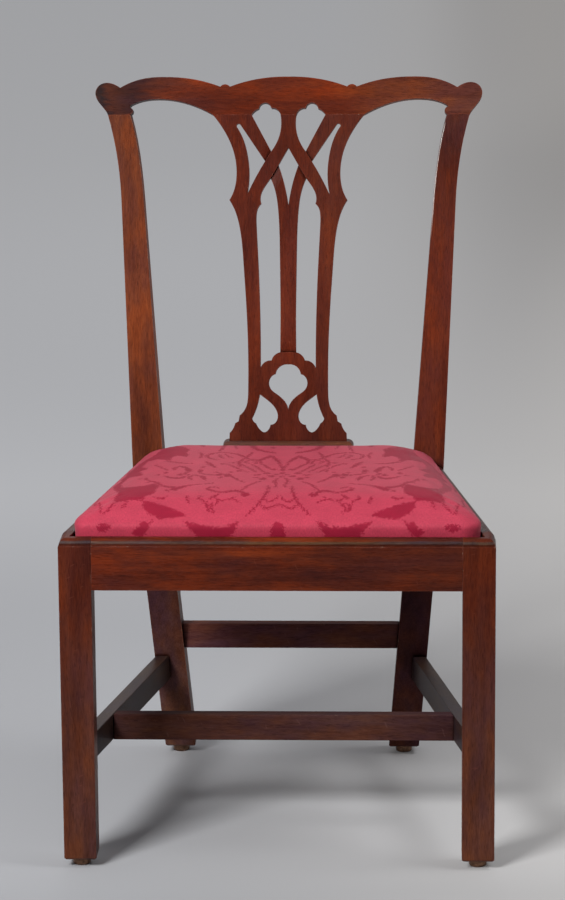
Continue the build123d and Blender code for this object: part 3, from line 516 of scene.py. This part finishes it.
def past_outline(found):
    """Distance of plan points outside the seat's rounded outline, below 0 inside it."""
    r = seat_corner
    turn = r * (slant + side_slope), r * (slant - side_slope)
    front = (front_half - turn[0], low.y + r)
    rear = (rear_half - turn[1], high.y - r)
    x, y = np.abs(found[:, 0]), found[:, 1]
    run = np.array(rear) - np.array(front)
    share = np.clip(((x - front[0]) * run[0] + (y - front[1]) * run[1]) / (run @ run), 0, 1)
    side = np.hypot(x - front[0] - share * run[0], y - front[1] - share * run[1])
    to_front = np.hypot(np.maximum(x - front[0], 0), y - front[1])
    to_rear = np.hypot(np.maximum(x - rear[0], 0), y - rear[1])
    outer = ((x - front[0]) + side_slope * (y - front[1])) / slant
    inside = (outer < 0) & (y > front[1]) & (y < rear[1])
    least = np.minimum(np.minimum(side, to_front), to_rear)
    return np.where(inside, -least, least) - r


def seat_start(name):
    """Closed hull of the covered seat, with its crown a little lower."""
    shape = bmesh.new()
    for x, y, z in cover:
        shape.verts.new((x, y, z if z < rim_z else rim_z + crown_flat * (z - rim_z)))
    hull = bmesh.ops.convex_hull(shape, input=shape.verts)
    unused = list(set(hull["geom_interior"] + hull["geom_unused"]))
    bmesh.ops.delete(shape, geom=unused, context="VERTS")
    mesh = bpy.data.meshes.new(name)
    shape.to_mesh(mesh)
    shape.free()
    return mesh


def remesh(obj, size):
    voxels = obj.modifiers.new("voxels", "REMESH")
    voxels.mode = "VOXEL"
    voxels.voxel_size = size
    apply_modifiers(obj)


def swelling():
    """Points of a coarse copy of the pad, and how each moves when it swells with its lower edge held."""
    pad = bpy.data.objects.new("pad", seat_start("pad"))
    scene.collection.objects.link(pad)
    remesh(pad, coarse_size)
    before = points(pad.data)
    held = pad.vertex_groups.new(name="held")
    held.add([int(i) for i in np.flatnonzero(before[:, 2] < rim_z + held_above_rim)], 1.0, "REPLACE")
    cloth = pad.modifiers.new("cloth", "CLOTH")
    cloth.settings.vertex_group_mass = "held"
    cloth.settings.use_pressure = True
    cloth.settings.uniform_pressure_force = swell_pressure
    cloth.settings.effector_weights.gravity = 0.0
    cloth.collision_settings.use_collision = False
    cloth.point_cache.frame_start = 1
    cloth.point_cache.frame_end = swell_frames
    for step in range(1, swell_frames + 1):
        scene.frame_set(step)
    graph = bpy.context.evaluated_depsgraph_get()
    move = points(pad.evaluated_get(graph).to_mesh()) - before
    bpy.data.objects.remove(pad)
    scene.frame_set(1)
    length = np.linalg.norm(move, axis=1, keepdims=True)
    return before, move * swell_limit / (swell_limit + length)


def follow(found, before, move):
    """Moves fine points as the nearest coarse ones moved."""
    neighbours = 6
    tree = KDTree(len(before))
    for index, spot in enumerate(before):
        tree.insert(spot, index)
    tree.balance()
    moved = found.copy()
    for index, spot in enumerate(found):
        near = tree.find_n(spot, neighbours)
        weight = np.array([1.0 / (1e-6 + n[2] ** 2) for n in near])
        moved[index] += (move[[n[1] for n in near]] * weight[:, None]).sum(0) / weight.sum()
    return moved


def square_up(found):
    """Sets the pad's lower walls on the outline that fits the rails, with a slight roll above them."""
    wall_top = rim_z + 0.020
    bottom_top = low.z + 0.001
    fade_height = 0.008             # below the walls' top
    roll_out = 0.0012               # past the rails' outline
    roll_height = 0.012
    band, band_fade = 0.010, 0.004  # inside the outline, where points still move
    wall = (found[:, 2] < wall_top) & (found[:, 2] > bottom_top)
    spots = found[wall]
    roll = roll_out * np.clip((spots[:, 2] - rim_z) / roll_height, 0, 1)
    off = past_outline(spots)
    step = 1e-5
    toward = [past_outline(spots + shift) - off for shift in ([step, 0, 0], [0, step, 0])]
    toward = np.stack(toward, 1) / step
    keep = np.clip((wall_top - spots[:, 2]) / fade_height, 0, 1)
    near = np.clip((off + band) / band_fade, 0, 1)
    spots[:, :2] += toward * ((roll - off) * keep * near)[:, None]
    found[wall] = spots
    found[found[:, 2] < bottom_top, 2] = low.z
    return found


def cloth_place(found):
    """Where each point of the cover lies on the flat cloth: down the sides it runs on past the edge."""
    heights = [0.423, 0.435, 0.447, 0.455, 0.463, 0.4696, 0.474, 0.479]
    lengths_past = [0.037, 0.025, 0.013, 0.0085, 0.0045, 0.0025, 0.001, 0.0]
    corner_blend = 0.008
    x, y, z = found.T
    past = np.interp(z, heights, lengths_past)
    edge = front_half - side_slope * (y - low.y)
    away = np.stack([y - low.y, high.y - y, (edge - x) / slant, (edge + x) / slant])
    share = np.exp(-np.maximum(away, 0.0) / corner_blend)
    share /= share.sum(0)
    across_share = (share[2] - share[3]) / slant
    along_share = share[1] - share[0] + (share[2] + share[3]) * side_slope / slant
    return np.stack([x + across_share * past, y - low.y + along_share * past, np.zeros_like(x)], 1)


# Damask figure in mm on the flat cloth, right half: x from the middle line, y from the front edge to the
# back. Patches are closed outlines. Lines are x, y, half width. Spots are x, y and two half sizes.
lit_patches = [
    [(-20, -50), (70, -50), (160, -50), (165, -20), (150, -2), (130, 2), (117, 7), (130, 17), (145, 26),
     (158, 32), (171, 36), (172, 38), (170, 46), (163, 53), (158, 63), (158, 75), (156, 87), (162, 103),
     (170, 97), (180, 92), (192, 94), (201, 103), (207, 117), (210, 134), (211, 152), (206, 172),
     (203, 178), (198, 176), (188, 166), (183, 168), (185, 180), (190, 196), (191, 203), (186, 203),
     (180, 204), (183, 216), (189, 232), (189, 250), (186, 266), (184, 268), (174, 262), (164, 252),
     (157, 243), (151, 238), (151, 248), (148, 259), (142, 263), (135, 259), (131, 254), (129, 267),
     (132, 281), (129, 297), (134, 312), (142, 330), (149, 345), (146, 360), (136, 372), (133, 390),
     (134, 430), (-20, 430)],
    [(300, -50), (145, -50), (150, -20), (148, -3), (158, 5), (167, 13), (172, 24), (173, 35), (184, 36),
     (196, 34), (206, 32), (211, 42), (209, 56), (207, 70), (210, 85), (214, 100), (218, 115), (222, 132),
     (225, 152), (226, 160), (221, 166), (214, 172), (217, 186), (219, 200), (213, 206), (212, 220),
     (214, 236), (211, 246), (204, 256), (203, 270), (196, 282), (190, 292), (182, 303), (173, 318),
     (173, 338), (182, 350), (196, 358), (203, 376), (198, 398), (204, 430), (300, 430)],
]
dark_patches = [
    [(49, -4), (58, -9), (67, -13), (78, -14), (90, -12), (103, -9), (119, -5), (113, -13), (107, -20),
     (98, -28), (80, -33), (62, -28), (55, -18)],
    [(-9, -45), (-8, -14), (0, -6), (8, -14), (9, -45)],
    [(157, -1), (164, -7), (171, -5), (175, -13), (183, -19), (177, -27), (168, -23), (163, -14)],
    [(210, -13), (219, -9), (229, -14), (220, -20)],
]
dark_lines = [
    [(15, 90, 1.0), (15, 74, 1.5), (17.5, 58, 1.8), (21, 44, 1.6), (26, 30, 1.4), (32, 18, 1.2),
     (40, 7, 1.0)],
    [(1, 51, 1.0), (5, 42, 1.2), (10, 37, 1.4), (15, 37, 1.2), (18, 42, 1.0)],
    [(0, 31, 1.0), (6, 26, 1.3), (12, 22, 1.4), (18, 21, 1.4), (21, 27, 1.0)],
    [(27, 113, 1.0), (36, 101, 1.7), (43, 87, 1.8), (46, 77, 1.3), (50, 68, 1.2)],
    [(46, 60, 2.0), (55, 68, 3.0), (64, 66, 2.7), (72, 62, 1.9), (80, 64, 1.8), (88, 70, 2.6),
     (93, 76, 1.8), (89, 83, 1.4), (82, 83, 1.1), (78, 78, 1.0)],
    [(49, 34, 1.0), (56, 40, 1.6), (63, 43, 1.2), (70, 39, 1.1), (77, 40, 1.4), (82, 45, 1.0)],
    [(56, 48, 1.2), (61, 43, 1.2)],
    [(79, 54, 1.1), (83, 49, 1.9), (87, 44, 1.6)],
    [(77, 38, 1.0), (80, 29, 1.1), (85, 21, 1.1), (82, 12, 1.0)],
    [(94, 37, 1.0), (91, 27, 1.4), (88, 14, 1.0)],
    [(84, 33, 1.0), (91, 25, 1.0)],
    [(99, 50, 1.0), (102, 44, 1.2), (96, 38, 1.0)],
    [(118, 49, 1.0), (116, 41, 1.4), (114, 33, 1.0)],
    [(143, 47, 1.2), (150, 42, 1.6), (158, 45, 1.0)],
    [(88, 103, 1.0), (105, 97, 1.2), (117, 91, 2.0), (127, 83, 3.5), (135, 74, 4.6)],
    [(136, 82, 3.0), (147, 87, 2.2), (155, 96, 2.0), (160, 109, 2.0), (167, 117, 2.2), (172, 112, 1.5)],
    [(6, 128, 1.2), (8.5, 112, 1.7), (6, 98, 1.2), (6, 84, 1.6)],
    [(47, 108, 1.0), (55, 119, 1.6), (60, 130, 1.5), (66, 140, 2.0)],
    [(88, 147, 1.8), (97, 150, 1.8), (107, 158, 1.2)],
    [(98, 120, 1.1), (100, 130, 2.4), (104, 140, 2.0), (112, 146, 1.2)],
    [(115, 120, 1.0), (119, 133, 1.8), (116, 146, 1.2)],
    [(124, 142, 1.5), (129, 133, 2.9), (137, 131, 3.1), (145, 136, 2.2), (151, 144, 1.1)],
    [(122, 171, 3.4), (125, 183, 3.0), (130, 194, 2.2), (136, 197, 1.8), (141, 189, 1.8), (142, 177, 1.2)],
    [(121, 148, 1.2), (126, 157, 1.8), (122, 166, 1.1)],
    [(169, 120, 1.0), (175, 130, 1.9), (176, 141, 1.1)],
    [(88, 188, 1.0), (93, 200, 2.4), (98, 212, 2.4), (102, 223, 1.0)],
    [(1, 186, 1.9), (4, 203, 1.2), (7, 220, 1.6), (12, 238, 2.3), (19, 257, 1.8)],
    [(19, 252, 3.4), (27, 241, 2.9), (32, 228, 2.2), (31, 214, 1.6)],
    [(18, 185, 2.0), (24, 199, 1.6), (31, 213, 1.2)],
    [(36, 212, 1.9), (38, 225, 1.4), (45, 230, 1.4), (51, 223, 1.4), (47, 213, 1.1)],
    [(33, 233, 1.4), (44, 236, 1.6), (51, 243, 1.9), (49, 257, 1.8), (44, 278, 1.3)],
    [(54, 250, 2.3), (60, 262, 1.9), (70, 272, 1.8), (84, 277, 1.6), (97, 271, 1.5), (103, 257, 1.8),
     (98, 242, 1.4), (88, 234, 1.0)],
    [(70, 246, 1.0), (76, 256, 1.2), (79, 266, 1.0)],
    [(81, 243, 1.0), (86, 254, 1.2), (87, 264, 1.0)],
    [(56, 194, 1.4), (59, 212, 1.8), (57, 228, 1.7), (52, 243, 1.2)],
    [(25, 166, 1.0), (34, 190, 1.3), (41, 206, 1.0)],
    [(34, 164, 1.0), (46, 188, 1.3), (56, 206, 1.0)],
    [(45, 162, 1.0), (58, 182, 1.5), (68, 200, 1.2), (78, 212, 1.0)],
    [(112, 246, 1.0), (110, 262, 1.6), (114, 277, 1.0)],
    [(120, 214, 1.0), (133, 216, 1.5), (146, 226, 1.6), (156, 238, 1.2)],
    [(150, 178, 1.0), (160, 196, 1.2), (170, 220, 1.0)],
    [(16, 276, 2.6), (26, 283, 2.9), (38, 296, 3.0), (44, 315, 3.1), (46, 338, 3.3), (43, 362, 3.0),
     (33, 383, 2.6), (14, 396, 2.2)],
    [(89, 286, 1.1), (85, 305, 1.9), (84, 335, 1.8), (87, 362, 1.9), (84, 390, 1.1)],
    [(112, 318, 1.2), (114, 338, 2.7), (111, 358, 1.4)],
    [(66, 300, 1.0), (69, 330, 1.2), (66, 360, 1.0)],
    [(193, 36, 1.2), (194, 28, 1.2), (197, 20, 1.0)],
    [(207, 33, 1.2), (212, 21, 1.2), (220, 8, 1.0)],
    [(231, 44, 1.0), (227, 27, 1.3), (224, 9, 1.0)],
    [(243, 120, 1.0), (239, 92, 1.4), (241, 62, 1.2), (236, 40, 1.0)],
    [(258, 150, 1.0), (254, 112, 1.2), (257, 80, 1.0)],
    [(229, 200, 1.0), (233, 175, 1.4), (231, 150, 1.0)],
    [(222, 300, 1.0), (217, 268, 1.4), (224, 238, 1.0)],
]
dark_spots = [
    (0, 176, 3.6, 7), (12, 178, 4.6, 5), (20, 157, 4.4, 5), (32, 148, 5, 3.6), (24, 127, 4.8, 6),
    (14, 140, 4.4, 4.6), (0, 158, 3.2, 5), (7, 149, 3, 3), (0, 138, 2.6, 4), (33, 134, 3.4, 3),
    (43, 55, 5.4, 6.6), (144, 68, 3, 3.6), (70, 145, 5.2, 8.5), (81, 149, 5, 6.5), (79, 134, 3.2, 4),
    (132, 150, 4, 5.5), (107, 170, 3.6, 8), (67, 216, 3, 2.6), (80, 210, 2.6, 3), (57, 170, 2.6, 4.5),
    (67, 163, 3, 2.8), (85, 162, 3.2, 2.6), (184, 141, 3, 3.6), (161, 153, 2.6, 3), (152, 163, 2.6, 5),
    (105, 192, 2.4, 4), (18, 310, 3.5, 6), (10, 338, 3, 7), (24, 345, 3.5, 7),
]
figure_middle = 1.5                 # mm that the figure's middle line lies to the right
line_strength = 1.25                # half widths are woven this many times as wide as drawn
line_reach = 12                     # mm around a line within which it is looked at
line_steps = 4


def through(spots, closed):
    """Smooth line through a few points, as many short straight ones."""
    p = np.array(spots, float)
    if closed:
        ring = np.vstack([p[-1:], p, p[:2]])
    else:
        ring = np.vstack([2 * p[0] - p[1], p, 2 * p[-1] - p[-2]])
    t = np.arange(line_steps)[:, None] / line_steps
    made = [b + 0.5 * t * (c - a + t * (2 * a - 5 * b + 4 * c - d + t * (3 * (b - c) + d - a)))
            for a, b, c, d in zip(ring, ring[1:], ring[2:], ring[3:])]
    last = made[0][:1] if closed else p[-1:]
    return np.vstack([*made, last])


def from_line(x, y, line):
    """Distance to a line, less its half width where it has one."""
    least = np.full_like(x, 1e3)
    for a, b in zip(line, line[1:]):
        run = b[:2] - a[:2]
        share = np.clip(((x - a[0]) * run[0] + (y - a[1]) * run[1]) / max(run @ run, 1e-9), 0, 1)
        far = np.hypot(x - a[0] - share * run[0], y - a[1] - share * run[1])
        if len(a) > 2:
            far -= line_strength * (a[2] + share * (b[2] - a[2]))
        np.minimum(least, far, out=least)
    return least


def in_patch(x, y, line):
    """Distance to a closed line, above 0 inside it."""
    crossed = np.zeros(len(x), bool)
    for a, b in zip(line, line[1:]):
        if a[1] != b[1]:
            meets = a[0] + (y - a[1]) * (b[0] - a[0]) / (b[1] - a[1])
            crossed ^= ((a[1] > y) != (b[1] > y)) & (x < meets)
    return np.where(crossed, 1, -1) * from_line(x, y, line)


def figure_distance(place):
    """Signed distance in metres to the edge of the woven figure, above 0 inside it."""
    x = np.abs(1000 * place[:, 0] - figure_middle)
    y = 1000 * place[:, 1]
    lit = np.full_like(x, -1e3)
    for patch in lit_patches:
        lit = np.maximum(lit, in_patch(x, y, through(patch, True)))
    for patch in dark_patches:
        lit = np.minimum(lit, -in_patch(x, y, through(patch, True)))
    for spots in dark_lines:
        line = through(spots, False)
        middle = (line.max(0) + line.min(0)) / 2
        reach = np.ptp(line, axis=0) / 2 + line_reach
        near = (np.abs(x - middle[0]) < reach[0]) & (np.abs(y - middle[1]) < reach[1])
        lit[near] = np.minimum(lit[near], from_line(x[near], y[near], line))
    for spot_x, spot_y, half_x, half_y in dark_spots:
        away = np.hypot((x - spot_x) / half_x, (y - spot_y) / half_y) - 1
        lit = np.minimum(lit, away * min(half_x, half_y))
    return lit / 1000


def open_underside(mesh):
    """Opens the cover below, inside the edge that is turned under the seat's frame."""
    cuts = [((0, low.y + turned_under, 0), (0, -1, 0)), ((0, high.y - turned_under, 0), (0, 1, 0))]
    for sign in (-1, 1):
        spot = (sign * (front_half - turned_under * slant), low.y, 0)
        cuts.append((spot, (sign / slant, side_slope / slant, 0)))
    under_top = low.z + 0.003
    shape = bmesh.new()
    shape.from_mesh(mesh)

    def underside():
        return [f for f in shape.faces if f.calc_center_median().z < under_top and f.normal.z < -0.5]

    for spot, normal in cuts:
        under = underside()
        geometry = list({e for f in under for e in (*f.verts, *f.edges)}) + under
        bmesh.ops.bisect_plane(shape, geom=geometry, plane_co=spot, plane_no=normal)
    opening = []
    for face in underside():
        middle = face.calc_center_median()
        if all((middle - Vector(spot)).xy.dot(Vector(normal).xy) < 0 for spot, normal in cuts):
            opening.append(face)
    bmesh.ops.delete(shape, geom=opening, context="FACES")
    for face in shape.faces:
        face.smooth = True
    shape.to_mesh(mesh)
    shape.free()


def make_cushion():
    """The pad with its cover."""
    start = seat_start("seat_cushion")
    cushion = new_piece("seat_cushion", start, "slip_seat", "damask", "seat_cover", "stuffing")
    remesh(cushion, fine_size)
    found = points(cushion.data)
    found = follow(found, *swelling())
    set_points(cushion.data, square_up(found))
    refine = cushion.modifiers.new("refine", "SUBSURF")
    refine.levels = refine.render_levels = 1
    apply_modifiers(cushion)
    open_underside(cushion.data)
    place = cloth_place(points(cushion.data))
    set_attribute(cushion.data, "cloth", "FLOAT_VECTOR", place)
    set_attribute(cushion.data, "figure", "FLOAT", figure_distance(place))
    dress(cushion, damask())
    thicken(cushion, cover_thickness, offset=-1.0)


make_cushion()


# Webbing and sackcloth under the pad, seen from below
def islands(name):
    """Lowest and highest corner of each separate solid of a CAD node, sorted along X then Y."""
    shape = bmesh.new()
    shape.from_mesh(nodes[name].data)
    bmesh.ops.remove_doubles(shape, verts=shape.verts, dist=weld_distance)
    left = set(shape.verts)
    found = []
    while left:
        group, edge = set(), [left.pop()]
        while edge:
            vert = edge.pop()
            group.add(vert)
            for link in vert.link_edges:
                other = link.other_vert(vert)
                if other in left:
                    left.remove(other)
                    edge.append(other)
        corners = np.array([v.co for v in group])
        found.append((corners.min(0), corners.max(0)))
    shape.free()
    return sorted(found, key=lambda b: (round(b[0][0] + b[1][0], 3), round(b[0][1] + b[1][1], 3)))


def grid_mesh(name, place, cloth, count_u, count_v):
    """Sheet through place(u, v), with the cloth coordinates cloth(u, v)."""
    u, v = np.meshgrid(np.linspace(0, 1, count_u), np.linspace(0, 1, count_v))
    u, v = u.ravel(), v.ravel()
    faces = []
    for j in range(count_v - 1):
        for i in range(count_u - 1):
            a = j * count_u + i
            faces.append((a, a + 1, a + count_u + 1, a + count_u))
    mesh = bpy.data.meshes.new(name)
    mesh.from_pydata(place(u, v).tolist(), [], faces)
    mesh.polygons.foreach_set("use_smooth", [True] * len(mesh.polygons))
    set_attribute(mesh, "cloth", "FLOAT_VECTOR", cloth(u, v))
    return mesh


jute_tones = ((0.13, 0.085, 0.04), (0.30, 0.215, 0.115), (0.44, 0.34, 0.20))
jute_stripe = (0.38, (0.16, 0.05, 0.03))
jute = weave("jute_webbing", jute_tones, pitch=0.0016, stripe=jute_stripe)
linen_tones = ((0.18, 0.13, 0.075), (0.40, 0.32, 0.20), (0.54, 0.45, 0.31))
webbing_thickness = 0.0009
sackcloth_sink = 0.00004            # keeps the sackcloth just under the top of its solid
level_half = 0.022                  # a strip stays level this far from a crossing's middle
level_change = 0.02                 # and changes level over this length


def bumps(along, middles, odd):
    """Where a strip trades places with the ones that it crosses, every second time."""
    lift = np.zeros_like(along)
    for index, middle in enumerate(middles):
        if (index + odd) % 2:
            away = np.clip((np.abs(along - middle) - level_half) / level_change, 0, 1)
            lift = np.maximum(lift, 1 - away * away * (3 - 2 * away))
    return lift


def strip(name, box, lengthwise, middles, odd, node):
    """One strip of webbing, in the box of its solid, that goes over and under the strips across it."""
    (x0, y0, z0), (x1, y1, z1) = box
    lift = (z1 - z0) * (1 if lengthwise else -1)
    length, width = (y1 - y0, x1 - x0) if lengthwise else (x1 - x0, y1 - y0)

    def place(u, v):
        share_x, share_y = (u, v) if lengthwise else (v, u)
        x = x0 + share_x * (x1 - x0)
        y = y0 + share_y * (y1 - y0)
        z = (z0 + z1) / 2 + lift * bumps(y if lengthwise else x, middles, odd)
        return np.stack([x, y, z], 1)

    def cloth(u, v):
        return np.stack([u * width, v * length, np.abs(u - 0.5)], 1)

    sheet = grid_mesh(name, place, cloth, count_u=13, count_v=121)
    piece = new_piece(name, sheet, "slip_seat", "jute_webbing", node)
    dress(piece, jute)
    thicken(piece, webbing_thickness, offset=0.0)


long_strips = islands("webbing_lengthwise")
cross_strips = islands("webbing_crosswise")
cross_middles = [(b[0][1] + b[1][1]) / 2 for b in cross_strips]
long_middles = [(b[0][0] + b[1][0]) / 2 for b in long_strips]
for index, box in enumerate(long_strips):
    strip(f"webbing_long_{index + 1}", box, True, cross_middles, index, "webbing_lengthwise")
for index, box in enumerate(cross_strips):
    strip(f"webbing_cross_{index + 1}", box, False, long_middles, index, "webbing_crosswise")


def make_sackcloth():
    """The sackcloth over the webbing, as a flat sheet that is narrower at the back."""
    corners = points(nodes["sackcloth"].data)
    y0, y1 = corners[:, 1].min(), corners[:, 1].max()
    front = corners[corners[:, 1] < y0 + 0.001][:, 0].max()
    rear = corners[corners[:, 1] > y1 - 0.001][:, 0].max()
    top = corners[:, 2].max()

    def place(u, v):
        x = (2 * u - 1) * (front + v * (rear - front))
        return np.stack([x, y0 + v * (y1 - y0), np.full_like(x, top - sackcloth_sink)], 1)

    def cloth(u, v):
        found = place(u, v)
        found[:, 2] = 0.0
        return found

    sheet = grid_mesh("sackcloth_sheet", place, cloth, count_u=61, count_v=47)
    piece = new_piece("sackcloth_sheet", sheet, "slip_seat", "linen", "sackcloth")
    dress(piece, weave("linen", linen_tones, pitch=0.0013))


make_sackcloth()


# Floor, light and camera
def paper():
    """Pale paper, whose colour and brightness change over the floor as they do in the photograph."""
    material = bpy.data.materials.new("paper")
    g = Graph(material)
    place = g.add("TexCoord", out="Object")
    spread = g.parts(place)
    x, y = spread["X"], spread["Y"]
    fleck = g.noise(place, (900.0, 900.0, 900.0), detail=2.0)
    colour = g.ramp(fleck, (0.3, (0.486, 0.491, 0.506)), (0.7, (0.511, 0.516, 0.531)))
    # Warmer to the right, and painted shade near the camera
    tint = g.ramp(g.remap(x, -0.2, 0.6), (0.0, (0.995, 1.0, 1.01)), (1.0, (1.035, 1.0, 0.95)))
    colour = g.tint(colour, tint)
    near = g.remap(y, -0.41, -0.19, 0.80, 1.0, smooth=True)
    colour = g.tint(colour, g.add("CombineColor", {0: near, 1: near, 2: near}))
    # Its own light: more behind the chair and far away, less at the back on the right, more along the right
    behind = g.remap(y, 0.7, 1.9, 0.0, 0.125, smooth=True)
    later = g.math("MULTIPLY", g.math("MAXIMUM", x, 0.0), 3.0)
    far = g.remap(g.math("SUBTRACT", y, later), 2.4, 6.0, 0.0, 0.09, smooth=True)
    far = g.math("MULTIPLY", far, g.remap(x, -0.2, 0.55, 1.0, 0.75, smooth=True))
    dim = g.remap(x, 0.1, 0.45, 0.0, 0.032, smooth=True)
    dim = g.math("MULTIPLY", dim, g.remap(y, 1.1, 2.2, smooth=True))
    slanted = g.math("SUBTRACT", x, g.math("MULTIPLY", y, 0.12))
    right = g.remap(slanted, -0.1, 0.5, 0.0, 0.085, smooth=True)
    glow = g.math("SUBTRACT", g.math("ADD", behind, far), dim)
    glow = g.math("ADD", glow, right)
    path = g.add("LightPath").node.outputs
    seen = g.math("ADD", path["Is Camera Ray"], path["Is Glossy Ray"], clamp=True)
    g.surface(Emission_Color=tint, Emission_Strength=g.math("MULTIPLY", seen, glow))
    relief = g.bump(fleck, strength=0.1, distance=0.0003)
    g.surface(Base_Color=colour, Roughness=0.9, Normal=relief, Specular_IOR_Level=0.1)
    return material


def make_floor(half):
    mesh = bpy.data.meshes.new("floor")
    corners = [(-half, -half, 0), (half, -half, 0), (half, half, 0), (-half, half, 0)]
    mesh.from_pydata(corners, [], [(0, 1, 2, 3)])
    floor = bpy.data.objects.new("floor", mesh)
    scene.collection.objects.link(floor)
    dress(floor, paper())


def make_world():
    """Soft grey surroundings, brighter toward the back and above."""
    world = bpy.data.worlds.new("studio")
    scene.world = world
    g = Graph(world)
    way = g.parts(g.add("TexCoord", out="Generated"))
    back = g.remap(way["Y"], -0.8, 0.7, 0.05, 0.34, smooth=True)
    above = g.remap(way["Z"], 0.2, 1.0, 0.0, 0.08, smooth=True)
    level = g.math("ADD", back, above)
    sky = g.add("CombineColor", {0: level, 1: level, 2: g.math("MULTIPLY", level, 1.04)})
    g.put(g.tree.nodes["Background"].inputs["Color"], sky)


def lamp(name, place, aim, power, size):
    """A square lamp at a place, turned toward another."""
    data = bpy.data.lights.new(name, "AREA")
    data.energy = power
    data.size = size
    obj = bpy.data.objects.new(name, data)
    obj.location = place
    obj.rotation_euler = (Vector(aim) - Vector(place)).to_track_quat("-Z", "Y").to_euler()
    scene.collection.objects.link(obj)


def make_camera(place, turn, dip, roll, focal, picture_height):
    """Camera from a place, angles in degrees, and a focal length and a picture's height in pixels."""
    sensor = 36.0
    data = bpy.data.cameras.new("camera")
    data.sensor_width = sensor
    data.lens = focal / picture_height * sensor
    data.clip_end = 200.0
    camera = bpy.data.objects.new("camera", data)
    way = Matrix.Rotation(math.radians(turn), 4, "Z") @ Matrix.Rotation(math.radians(90 - dip), 4, "X")
    way = way @ Matrix.Rotation(math.radians(roll), 4, "Z")
    camera.matrix_world = Matrix.Translation(place) @ way
    scene.collection.objects.link(camera)
    scene.camera = camera


make_floor(half=30)
make_world()
lamp("key", (-1.62, -2.56, 2.55), (0.0, 0.0, 0.4), power=122.0, size=1.05)
lamp("behind", (-0.35, 4.2, 2.8), (0.0, 0.0, 0.3), power=14.0, size=1.4)
lamp("fill", (1.9, -0.4, 3.2), (0.4, 0.0, 0.0), power=32.0, size=1.2)
# As fitted to the photograph
make_camera((0.186, -4.77267, 1.587), turn=2.257, dip=12.968, roll=-0.432,
            focal=3710.975, picture_height=900)
